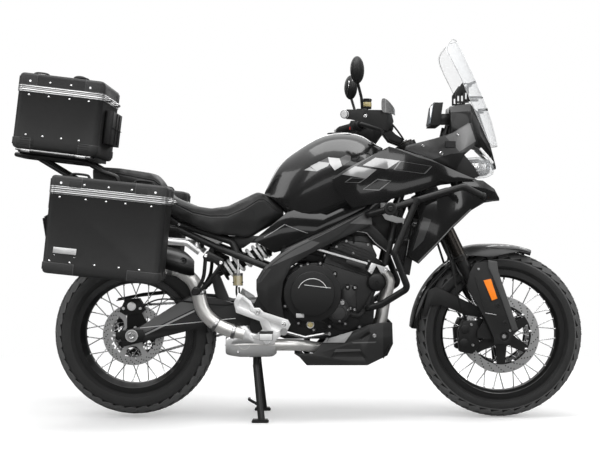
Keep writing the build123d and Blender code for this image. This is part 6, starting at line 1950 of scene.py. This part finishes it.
class MOTORCYCLE_OT_bodywork_details(bpy.types.Operator):
    """Rounded skid plate, covers, radiator grille and fan, stand feet, crash bar fittings and bolts"""
    bl_idname = "motorcycle.bodywork_details"
    bl_label = "Skid plate and frame details"

    def execute(self, context):
        def put(piece, name, finish, slot="black_plastic", body="chassis"):
            add_piece(piece, name, body, finishes[finish])

        skid = merged_copy("skid_plate")
        cutters = []
        for side in (-1, 1):
            cutters.append(plate([(126, 246), (142, 276), (230, 276), (248, 246)],
                                 *sorted((side * 134.6, side * 145)), 1.5))
            cutters.append(plate([(232, 319), (262, 342), (273, 338), (242, 314)],
                                 *sorted((side * 134.6, side * 145)), 1.5))
        carve(skid, join(cutters))
        round_edges(skid, 1.5, 2, 30)
        finished(skid, "skid_plate", "skid_paint")
        bolts = [(106, 317), (288, 332)]
        put(join([bolt_heads([(x, s * 138, z) for x, z in bolts], 8, 5, (0, s, 0))
                  for s in (-1, 1)]), "skid_bolts", "plain_steel", "axle_steel")
        ribs = both_ways(join([bar((322, 244), (352, 300), 4, -140.5, -137, 1),
                               bar((205, 345), (262, 372), 3, -140.5, -137, 1),
                               bar((176, 304), (206, 346), 3, -140.5, -137, 1),
                               bar((78, 304), (176, 304), 2.4, -140, -137, 0.8)]))
        put(ribs, "skid_ribs", "skid_paint", "grey_plastic")
        soften("frame_covers", 1.2, "cover_paint_with_highlight")
        lips = both_ways(join([
            tube([(-160, -170.5, 548), (-138, -171, 586), (-80, -173, 634), (-16, -175, 674),
                  (118, -177, 737), (262, -171, 815)], 2.2, 8, order=3)]))
        put(lips, "frame_cover_lips", "grey_panel", "grey_plastic")
        pivot = [round_part([(0, 0), (16, 0), (16, 3), (13, 6), (7, 6), (6, 3), (0, 3)],
                            (-151, s * 134, 400), (0, s, 0), 32) for s in (-1, 1)]
        put(join(pivot), "pivot_caps", "plain_steel", "axle_steel")
        soften("radiator", 2, "black_plastic")
        fins = [tube([(456.5 - 41 * t, -146, 742 - 170 * t), (456.5 - 41 * t, 146,
                                                              742 - 170 * t)], 1.1, 6)
                for t in [i / 26 for i in range(27)]]
        put(join(fins), "radiator_fins", "dark_alloy", "black_plastic")
        blades = []
        for i in range(7):
            blade = bar((14, 0), (54, 8), 18, -2, 2, 0.5)
            blades.append(moved(blade, Matrix.Rotation(2 * pi * i / 7, 4, "Y")))
        fan = join([*blades, lathe([(0, -5), (16, -5), (16, 5), (0, 5)], (0, 0), 24),
                    lathe([(58, -7), (62, -7), (62, 7), (58, 7)], (0, 0), 48)])
        moved(fan, aim((389, 0, 690), (-1, 0, 0.2)) @ Matrix.Rotation(pi / 2, 4, "X"))
        put(fan, "radiator_fan", "dark_alloy")
        feet = both_ways(block((-186, -181, 0.4), (-120, -139, 8), 3))
        put(feet, "centre_stand_feet", "soft_rubber", "grip_rubber", "centre_stand")
        ends = [round_part([(0, -3), (14.6, -3), (15.6, 0), (15.6, 7), (12, 11), (0, 12)],
                           (690 + 1, s * 236, 870 - 1), (0.7, -s * 0.3, -0.3), 24)
                for s in (-1, 1)]
        clamps = [round_part([(14, -11), (17, -11), (17, 11), (14, 11)], p, d, 28)
                  for s in (-1, 1) for p, d in (((343, s * 251, 822), (127, s * 4, 40)),
                                                ((439, s * 252, 852), (-82, 0, -200)))]
        for s in (-1, 1):
            clamps.append(round_part([(0, 0), (22, 0), (25, 3), (25, 10), (21, 13), (15, 13),
                                      (14, 11), (0, 11)], (340, s * 262, 821), (0, s, 0), 36))
            ends.append(round_part([(0, 0), (12, 0), (12, 5), (9, 8), (0, 8)],
                                   (340, s * 273, 821), (0, s, 0), 6))
        put(join(ends + clamps), "crash_bar_fittings", "dark_alloy", "black_paint")
        return {"FINISHED"}


class MOTORCYCLE_OT_front_end(bpy.types.Operator):
    """Calipers, fork seals and caps, guards with reflectors, mudguard and wheel nuts"""
    bl_idname = "motorcycle.front_end"
    bl_label = "Front end"

    def execute(self, context):
        def put(piece, name, finish, slot, body="steering"):
            add_piece(piece, name, body, finishes[finish])

        soften("front_brake_calipers", 2.5, "dark_alloy", 3)
        soften("fork_guards", 3, "black_plastic", 3)
        soften("front_mudguard", 1.2, "gloss_black")
        soften("triple_clamps", 3, "black_steel", 3)
        soften("front_brake_hoses", 0.1, "soft_rubber")
        steel, amber, rims, black, wings = [], [], [], [], []
        for s in (-1, 1):
            for x, z in ((644, 352), (640, 300)):
                rims.append(round_part([(0, 0), (14, 0), (17, -1), (17, 3), (13, 4.4), (0, 4.4)],
                                       (x, s * 98, z), (0, s, 0), 28))
            wings.append(plate([(727, 624), (762, 619), (767, 578), (791, 509), (843, 356),
                                (821, 351), (766, 509), (739, 573), (727, 598)],
                               *sorted((s * 139, s * 146)), 2, 3))
            black.append(plate([(504, 506), (536, 518), (721, 428), (719, 396), (661, 405),
                                (551, 446), (511, 446), (494, 400), (478, 404)],
                               *sorted((s * 66.6, s * 70.6)), 1.2))
            black.append(bar((676, 560), (716, 420), 4, *sorted((s * 141, s * 143.5)), 1))
            steel.append(bar((716, 420), (760, 412), 2.6, *sorted((s * 141, s * 143)), 0.6))
            for x, z in ((766, 450), (793, 381)):
                black.append(round_part([(6, 0), (10, 0), (10, 2.4), (8, 3), (6, 3)],
                                        (x, s * 142, z), (0, s, 0), 24))
            steel.append(bolt_heads([(668, s * 98, 372), (674, s * 98, 292)], 6, 6,
                                    (0, s, 0)))
            black.append(round_part([(8, 6), (15, 6), (17, 8), (15, 10), (8, 10)],
                                    (790, s * 127, 329), (0, s, 0), 32))
            black.append(round_part([(11, 0), (30, 0), (34, 2), (34, 6), (20, 9), (11, 9)],
                                    (790, s * 126, 329), (0, s, 0), 40))
            amber.append(plate([(709, 546), (738, 552), (763, 476), (742, 468)],
                               *sorted((s * 141, s * 144)), 1))
            black.append(plate([(704, 550), (742, 558), (769, 473), (738, 462)],
                               *sorted((s * 140.6, s * 142.4)), 1))
            steel.append(bolt_heads([(690, s * 142, 590), (812, s * 142, 352)], 5, 4,
                                    (0, s, 0)))
            for z, r, h in ((624, 28, 10), (637, 26.5, 5)):
                x = 739.4 + 31 - (z - 329) * tan(radians(25.5))
                rims.append(round_part([(22, 0), (r, 0), (r, h), (25, h + 2), (22, h + 2)],
                                       (x, s * 105, z), (-0.477, 0, 1), 36))
            x = 739.4 + 31 - (1084 - 329) * tan(radians(25.5))
            rims.append(round_part([(0, -1), (24, -1), (25, 0), (22, 3), (12, 4), (0, 4)],
                                   (x, s * 105, 1082), (-0.477, 0, 1), 36))
            steel.append(bolt_heads([(x - 2, s * 105, 1086)], 9, 5, (-0.477, 0, 1)))
        put(join(steel), "front_end_bolts", "plain_steel", "axle_steel")
        put(join(amber), "fork_reflectors", "reflector_amber", "lamp_amber")
        put(join(black), "fork_guard_trims", "black_plastic", "black_plastic")
        put(join(rims), "fork_seals", "dark_alloy", "dark_alloy")
        put(join(wings), "fork_guard_strips", "grey_panel", "grey_plastic")
        rows = []
        for x, top, low, half in ((618, 664, 632, 78), (680, 680, 640, 90), (740, 684, 636, 92),
                                  (800, 683.5, 646, 84), (860, 676, 654, 66),
                                  (912, 662, 656, 36)):
            rows.append([(x, half * t, top - (top - low) * abs(t) ** 3)
                         for t in (-1, -0.86, -0.5, 0, 0.5, 0.86, 1)])
        cowl = skin(rows, wrap=False)
        apply_modifier(cowl, "SOLIDIFY", thickness=2.4 * MM, offset=0)
        put(cowl, "mudguard_cowl", "matte_black", "gloss_black")
        stay = both_ways(join([plate([(596, 640), (640, 642), (648, 604), (612, 566),
                                      (600, 560), (590, 600)], -72, -68, 1),
                               bolt_heads([(612, -72, 628), (628, -72, 600)], 4.5, 3)]))
        put(stay, "mudguard_stay", "black_plastic", "black_plastic")
        for name, centre, y in (("front", front_centre, 40), ("rear", rear_centre, 44)):
            nipples = []
            for side in (-1, 1):
                for i in range(18):
                    outer = 1 if i % 2 else -1
                    a = radians((i // 2) * 40 + outer * 5 + (side + 1) * 10)
                    rim_r = (241.3 if name == "front" else 218.3) - (15 if name == "front"
                                                                     else 15)
                    place = (centre[0] + rim_r * cos(a), side * (9 + outer * 5),
                             centre[1] + rim_r * sin(a))
                    nipples.append((place, (-cos(a), 0, -sin(a))))
            made_ = [round_part([(0, 0), (3.6, 0), (3.6, 8), (2.6, 11), (0, 11)], p, d, 8)
                     for p, d in nipples]
            put(join(made_), f"{name}_spoke_nipples", "bright_steel", "spoke_steel",
                f"{name}_wheel")
        valve = tube([(front_centre[0] + 224, 0, front_centre[1] + 92),
                      (front_centre[0] + 190, 3, front_centre[1] + 78)], 3, 8)
        put(valve, "front_valve", "soft_rubber", "grip_rubber", "front_wheel")
        return {"FINISHED"}


class MOTORCYCLE_OT_cockpit(bpy.types.Operator):
    """Ribbed grips, switches, levers, reservoir, hand guards, mirrors and cables"""
    bl_idname = "motorcycle.cockpit"
    bl_label = "Cockpit"

    def execute(self, context):
        def put(piece, name, finish, slot="black_plastic", body="steering"):
            add_piece(piece, name, body, finishes[finish])

        end, knee = Vector((169, -400, 1165)), Vector((262, -215, 1178))
        run = (knee - end).normalized()

        def on_bar(distance, side, out=(0, 0, 0)):
            p = end + run * distance + Vector(out)
            return (p.x, -side * p.y, p.z)

        def along(side):
            return (run.x, -side * run.y, run.z)

        ribs, caps, boxes, red, keys, glass, lids, windows = [], [], [], [], [], [], [], []
        for s in (-1, 1):
            for i in range(22):
                ribs.append(round_part([(16.8, 0), (18, 0.8), (18, 2.2), (16.8, 3)],
                                       on_bar(14 + i * 4.8, s), along(s), 20))
            ribs.append(round_part([(16, 0), (21, 0.5), (21, 4), (16, 5)], on_bar(120, s),
                                   along(s), 24))
            caps.append(round_part([(0, -20), (12, -20), (15.6, -16), (16, -2), (0, -2)],
                                   on_bar(0, s), along(s), 32))
            x, y, z = on_bar(146, s)
            box = block((x - 24, min(y - 15, y + 15), z - 21), (x + 20, max(y - 15, y + 15),
                                                                z + 23), 5, 3)
            boxes.append(box)
            keys.append(block((x - 27.5, y - 10, z + 2), (x - 23, y + 10, z + 14), 1.5))
            red.append(block((x - 27.5, y - 9, z - 15), (x - 23, y + 9, z - 3), 1.5))
            glass.append(moved(lathe([(0, -1.2), (40, -1.2), (42, 0), (42, 1.2), (0, 1.2)],
                                     (0, 0), 48),
                               Matrix.Translation(Vector((203.2, s * 300, 1341)) * MM)
                               @ Matrix.Rotation(radians(8), 4, "Y")
                               @ Matrix.Rotation(pi / 2, 4, "Z")
                               @ Matrix.Diagonal((1.22, 1, 1.0, 1))))
        put(join(ribs), "grip_ribs", "soft_rubber", "grip_rubber")
        put(join(caps), "bar_end_weights", "cast_silver", "axle_steel")
        put(join(boxes), "switch_boxes", "black_plastic")
        put(join(red), "kill_switch", "red_plastic")
        put(join(keys), "switch_keys", "grey_panel")
        put(join(glass), "mirror_glasses", "mirror_glass", "black_plastic")
        soften("mirrors", 0.8, "black_plastic", 2, 40)
        soften("hand_guards", 1.6, "black_plastic", 3)
        shade = ((298, -397.5, 1228), (318, -389, 1220), (339, -341, 1206), (353, -301, 1192),
                 (354.5, -264, 1183))
        visor = skin([[(x, y, 1172 + (top - 1172) * t) for x, y, top in shade]
                      for t in (0, 0.5, 1)], wrap=False)
        apply_modifier(visor, "SOLIDIFY", thickness=3 * MM, offset=0)
        put(both_ways(visor), "hand_guard_visors", "smoke_visor")
        soften("bar_controls", 1.2, "black_plastic", 2)
        soften("handlebar", 1.5, "black_steel", 2)
        x, y, z = on_bar(180, -1)
        cup = Vector((x + 2, y, z + 40))
        lids.append(upright([(0, 15), (20.4, 15), (20.4, 20), (18, 22), (0, 22)], cup))
        put(join(lids), "front_reservoir_lid", "gloss_black")
        ring = upright([(19.2, -9), (19.6, -8), (19.6, 7), (19.2, 8), (18, 8), (18, -9)], cup)
        put(ring, "front_reservoir_window", "yellow_fluid", "lamp_lens")
        plates = []
        for s in (-1, 1):
            plates.append(bolt_heads([(238, s * 425.5, 1156)], 7, 4, (0.08, s, 0)))
        put(join(plates), "hand_guard_bolts", "bright_steel", "axle_steel")
        cables = []
        for s in (-1, 1):
            x, y, z = on_bar(186, s)
            cables.append(tube([(x + 14, y, z), (x + 50, y * 0.82, z + 8),
                                (x + 96, y * 0.5, z - 12), (400, s * 70, 1108),
                                (430, s * 52, 1060)], 3.6, 8))
        cables.append(tube([(300, 160, 1160), (340, 120, 1150), (392, 76, 1120),
                            (428, 58, 1066)], 3, 8))
        put(join(cables), "control_cables", "soft_rubber", "hose_rubber")
        clamps = [block((330, s * 48 - 15, 1150), (362, s * 48 + 15, 1166), 3)
                  for s in (-1, 1)]
        put(join(clamps), "bar_clamps", "black_steel", "black_paint")
        put(bolt_heads([(x, s * 48 + d, 1166) for s in (-1, 1) for x in (336, 356)
                        for d in (-9, 9)], 4, 4, (0, 0, 1)), "bar_clamp_bolts", "bright_steel",
            "axle_steel")
        nut = round_part([(0, 0), (20, 0), (20, 8), (15, 11), (0, 11)], (409, 0, 1067),
                         (-0.43, 0, 0.9), 6)
        put(nut, "stem_nut", "plain_steel", "axle_steel")
        return {"FINISHED"}


class MOTORCYCLE_OT_tail(bpy.types.Operator):
    """Tail lamp details, blank plate frame, reflector and rack fittings"""
    bl_idname = "motorcycle.tail"
    bl_label = "Tail"

    def execute(self, context):
        def put(piece, name, finish, slot="black_plastic", body="chassis"):
            add_piece(piece, name, body, finishes[finish])

        soften("tail_section", 2, "black_plastic")
        inner = [(180, 745), (200, 762), (270, 802), (330, 836), (402, 850), (402, 762),
                 (380, 692), (330, 668), (262, 690), (200, 700)]
        put(both_ways(plate(inner, -88, -85, 1)), "inner_side_panels", "matte_black")
        under = [(-290, 716), (-150, 716), (-96, 704), (-118, 690), (-196, 690), (-228, 668),
                 (-262, 660)]
        put(both_ways(plate(under, -93, -90, 1)), "under_seat_panels", "matte_black")
        bracket = [(312, 846), (332, 846), (346, 802), (380, 790), (412, 784), (412, 770),
                   (372, 768), (330, 782), (312, 812)]
        put(both_ways(plate(bracket, -134, -130, 1)), "shroud_brackets", "pale_panel",
            "grey_plastic")
        panels = both_ways(plate([(-440, 750), (-282, 712), (-326, 680), (-420, 716)], -104,
                                 -101, 1))
        put(panels, "tail_side_panels", "pale_panel", "grey_plastic")
        soften("luggage_racks", 1.2, "black_steel")
        face = plate([(-1004.9, 786), (-981.9, 643), (-981.2, 643), (-1004.2, 786)], -100, 100)
        put(face, "blank_number_plate", "blank_label")
        reflector = plate([(-964, 830), (-957, 806), (-960, 804.8), (-967, 828.6)], -30, 30, 0.8)
        put(reflector, "rear_reflector", "red_lens", "lamp_amber")
        light = block((-975, -24, 786), (-952, 24, 796), 2)
        put(light, "plate_light", "black_plastic")
        rails = both_ways(join([
            bolt_heads([(-560, -113, 820), (-700, -113, 862), (-470, -113, 762)], 6, 4)]))
        put(rails, "subframe_bolts", "bright_steel", "axle_steel")
        return {"FINISHED"}


class MotorcycleChassis(bpy.types.PropertyGroup):
    spring_turns: FloatProperty(name="Spring turns", description="Turns of the shock's spring",
                                default=7.0, min=2, max=16)
    chain_links: IntProperty(name="Chain links", description="Links in the drive chain",
                             default=104, min=20, max=200)

# ------------------------------------------------------------------ studio


def studio_light(name, place, target, size, power, spread=180):
    lamp = bpy.data.lights.new(name, "AREA")
    lamp.shape = "RECTANGLE"
    lamp.size, lamp.size_y = size
    lamp.energy = power
    lamp.spread = radians(spread)
    holder = bpy.data.objects.new(name, lamp)
    bpy.context.scene.collection.objects.link(holder)
    holder.location = place
    aim_at = Vector(target) - Vector(place)
    holder.rotation_euler = aim_at.to_track_quat("-Z", "Y").to_euler()
    return holder


class MOTORCYCLE_OT_studio(bpy.types.Operator):
    """Adds the white floor, the soft lights and the camera"""
    bl_idname = "motorcycle.studio"
    bl_label = "Studio"

    def execute(self, context):
        scene = context.scene
        choice = scene.motorcycle_studio
        scene.view_settings.view_transform = "Standard"
        world = bpy.data.worlds.new("studio_world")
        scene.world = world
        world.use_nodes = True
        tree = world.node_tree
        ambient = tree.nodes["Background"]
        ambient.inputs["Color"].default_value = (1, 1, 1, 1)
        ambient.inputs["Strength"].default_value = choice.ambient
        white = tree.nodes.new("ShaderNodeBackground")
        white.inputs["Color"].default_value = (1, 1, 1, 1)
        white.inputs["Strength"].default_value = 1.0
        sky = tree.nodes.new("ShaderNodeBackground")        # what shiny parts reflect
        place = tree.nodes.new("ShaderNodeTexCoord")
        parts = tree.nodes.new("ShaderNodeSeparateXYZ")
        ramp = tree.nodes.new("ShaderNodeValToRGB")
        elements = ramp.color_ramp.elements
        elements.new(0.3)
        for element, (position, level) in zip(elements, ((0.0, choice.horizon),
                                                         (0.3, choice.horizon * 2.2),
                                                         (0.8, choice.zenith))):
            element.position = position
            element.color = (level, level, level, 1)
        tree.links.new(place.outputs["Generated"], parts.inputs[0])
        tree.links.new(parts.outputs[2], ramp.inputs[0])
        tree.links.new(ramp.outputs[0], sky.inputs["Color"])
        rays = tree.nodes.new("ShaderNodeLightPath")
        shown = ambient.outputs[0]
        for ray, seen in (("Is Glossy Ray", sky), ("Is Transmission Ray", white),
                          ("Is Camera Ray", white)):
            mix = tree.nodes.new("ShaderNodeMixShader")
            tree.links.new(rays.outputs[ray], mix.inputs[0])
            tree.links.new(shown, mix.inputs[1])
            tree.links.new(seen.outputs[0], mix.inputs[2])
            shown = mix.outputs[0]
        tree.links.new(shown, tree.nodes["World Output"].inputs[0])

        start()
        bpy.ops.mesh.primitive_plane_add(size=60, location=(0, 0, -0.0005))
        floor = context.object
        floor.name = "floor"
        floor_finish = Finish("floor_white", Roughness=0.9)
        floor_finish.feed("Base Color", floor_finish.blend(floor_finish.noise(3.0), grey(0.86),
                                                           grey(0.88)))
        tree = floor_finish.tree
        paths = tree.nodes.new("ShaderNodeLightPath")
        rays = Value(floor_finish, paths.outputs["Is Camera Ray"])
        glossy = Value(floor_finish, paths.outputs["Is Glossy Ray"])
        px, py, _ = floor_finish.place.parts()
        away = ((px * px) * 0.6 + (py * py)).math("SQRT").ramp(choice.fade_start,
                                                               choice.fade_end)
        glow = tree.nodes.new("ShaderNodeEmission")
        glow.inputs["Strength"].default_value = choice.floor_glow
        white = tree.nodes.new("ShaderNodeEmission")
        total = tree.nodes.new("ShaderNodeAddShader")
        tree.links.new(floor_finish.shader.outputs[0], total.inputs[0])
        tree.links.new(glow.outputs[0], total.inputs[1])
        shown = floor_finish.shader.outputs[0]
        dim = tree.nodes.new("ShaderNodeEmission")          # what shiny parts reflect
        dim.inputs["Strength"].default_value = choice.horizon * 1.2
        for factor, other in ((glossy, dim), (rays, total), (rays * away, white)):
            mix = tree.nodes.new("ShaderNodeMixShader")
            tree.links.new(factor.socket, mix.inputs[0])
            tree.links.new(shown, mix.inputs[1])
            tree.links.new(other.outputs[0], mix.inputs[2])
            shown = mix.outputs[0]
        tree.links.new(shown, tree.nodes["Material Output"].inputs[0])
        floor.data.materials.append(floor_finish.material)

        studio_light("overhead", (0.0, -0.6, 4.6), (0, 0, 0.6), (5.5, 2.2), choice.overhead)
        studio_light("near_side", (-0.4, -4.4, 2.6), (0, 0, 0.7), (6.0, 1.4), choice.near_side)
        studio_light("near_low", (0.6, -3.6, 0.5), (0, 0, 0.5), (6.0, 0.5), choice.near_low)
        studio_light("front_end", (4.4, -1.6, 2.2), (0.4, 0, 0.7), (1.6, 2.6), choice.ends)
        studio_light("rear_end", (-4.4, -1.4, 2.2), (-0.4, 0, 0.7), (1.6, 2.6), choice.ends)
        studio_light("far_side", (0.0, 4.4, 2.6), (0, 0, 0.7), (5.0, 1.6), choice.far_side)

        camera = bpy.data.objects.new("camera", bpy.data.cameras.new("camera"))
        scene.collection.objects.link(camera)
        camera.data.sensor_width = 36
        camera.data.lens = choice.lens
        camera.location = (0, -choice.distance, choice.height)
        camera.rotation_euler = (radians(90), 0, 0)
        camera.data.clip_end = 100
        scene.camera = camera
        return {"FINISHED"}


class MotorcycleStudio(bpy.types.PropertyGroup):
    ambient: FloatProperty(name="Ambient", description="Strength of the light from all round",
                           default=0.35, min=0)
    horizon: FloatProperty(name="Horizon", description="Brightness that shiny parts reflect "
                           "from the sides", default=0.08, min=0)
    zenith: FloatProperty(name="Zenith", description="Brightness that shiny parts reflect "
                          "from above", default=1.7, min=0)
    floor_glow: FloatProperty(name="Floor glow", description="Brightness added to the floor "
                              "where the camera sees it", default=0.25, min=0)
    fade_start: FloatProperty(name="Fade start", description="Distance at which the floor "
                              "starts to turn pure white", default=1.5, min=0, unit="LENGTH")
    fade_end: FloatProperty(name="Fade end", description="Distance at which the floor is pure "
                            "white", default=2.6, min=0, unit="LENGTH")
    overhead: FloatProperty(name="Overhead", description="Power of the soft box above",
                            default=150, min=0, unit="POWER")
    near_side: FloatProperty(name="Near side", description="Power of the light on the near side",
                             default=85, min=0, unit="POWER")
    near_low: FloatProperty(name="Near low", description="Power of the low strip on the near "
                            "side", default=14, min=0, unit="POWER")
    ends: FloatProperty(name="Ends", description="Power of the lights before and behind",
                        default=40, min=0, unit="POWER")
    far_side: FloatProperty(name="Far side", description="Power of the light on the far side",
                            default=50, min=0, unit="POWER")
    lens: FloatProperty(name="Lens", description="Focal length of the camera in millimetres",
                        default=75.4, min=10)
    distance: FloatProperty(name="Distance", description="Camera to the centre plane",
                            default=5.0, min=1, unit="LENGTH")
    height: FloatProperty(name="Height", description="Height of the camera", default=0.76,
                          min=0, unit="LENGTH")


operators = (
    MOTORCYCLE_OT_frame_finishes,
    MOTORCYCLE_OT_tyres,
    MOTORCYCLE_OT_brake_discs,
    MOTORCYCLE_OT_cases,
    MOTORCYCLE_OT_fuel_tank,
    MOTORCYCLE_OT_seats,
    MOTORCYCLE_OT_windscreen,
    MOTORCYCLE_OT_nose,
    MOTORCYCLE_OT_engine,
    MOTORCYCLE_OT_exhaust,
    MOTORCYCLE_OT_rear_shock,
    MOTORCYCLE_OT_drive,
    MOTORCYCLE_OT_footrests,
    MOTORCYCLE_OT_bodywork_details,
    MOTORCYCLE_OT_front_end,
    MOTORCYCLE_OT_cockpit,
    MOTORCYCLE_OT_tail,
    MOTORCYCLE_OT_studio,
)
property_groups = (MotorcycleWheels, MotorcycleCases, MotorcycleSeats, MotorcycleEngine, MotorcycleChassis, MotorcycleStudio,)
groups = ("motorcycle_wheels", "motorcycle_cases", "motorcycle_seats", "motorcycle_engine", "motorcycle_chassis", "motorcycle_studio",)


class MOTORCYCLE_PT_panel(bpy.types.Panel):
    """Lists every step that builds the motorcycle"""
    bl_idname = "MOTORCYCLE_PT_panel"
    bl_label = "Adventure Motorcycle"
    bl_space_type = "VIEW_3D"
    bl_region_type = "UI"
    bl_category = "Motorcycle"

    def draw(self, context):
        for step in operators:
            self.layout.operator(step.bl_idname)
        for group in groups:
            holder = getattr(context.scene, group)
            for name in holder.bl_rna.properties.keys():
                if name not in ("rna_type", "name"):
                    self.layout.prop(holder, name)


def register():
    for kind in (*property_groups, *operators, MOTORCYCLE_PT_panel):
        bpy.utils.register_class(kind)
    for name, kind in zip(groups, property_groups):
        setattr(bpy.types.Scene, name, PointerProperty(type=kind))


def unregister():
    for name in groups:
        delattr(bpy.types.Scene, name)
    for kind in (MOTORCYCLE_PT_panel, *operators[::-1], *property_groups[::-1]):
        bpy.utils.unregister_class(kind)


def main():
    register()
    for step in operators:
        group, name = step.bl_idname.split(".")
        getattr(getattr(bpy.ops, group), name)()
    start()


if __name__ == "__main__":
    main()
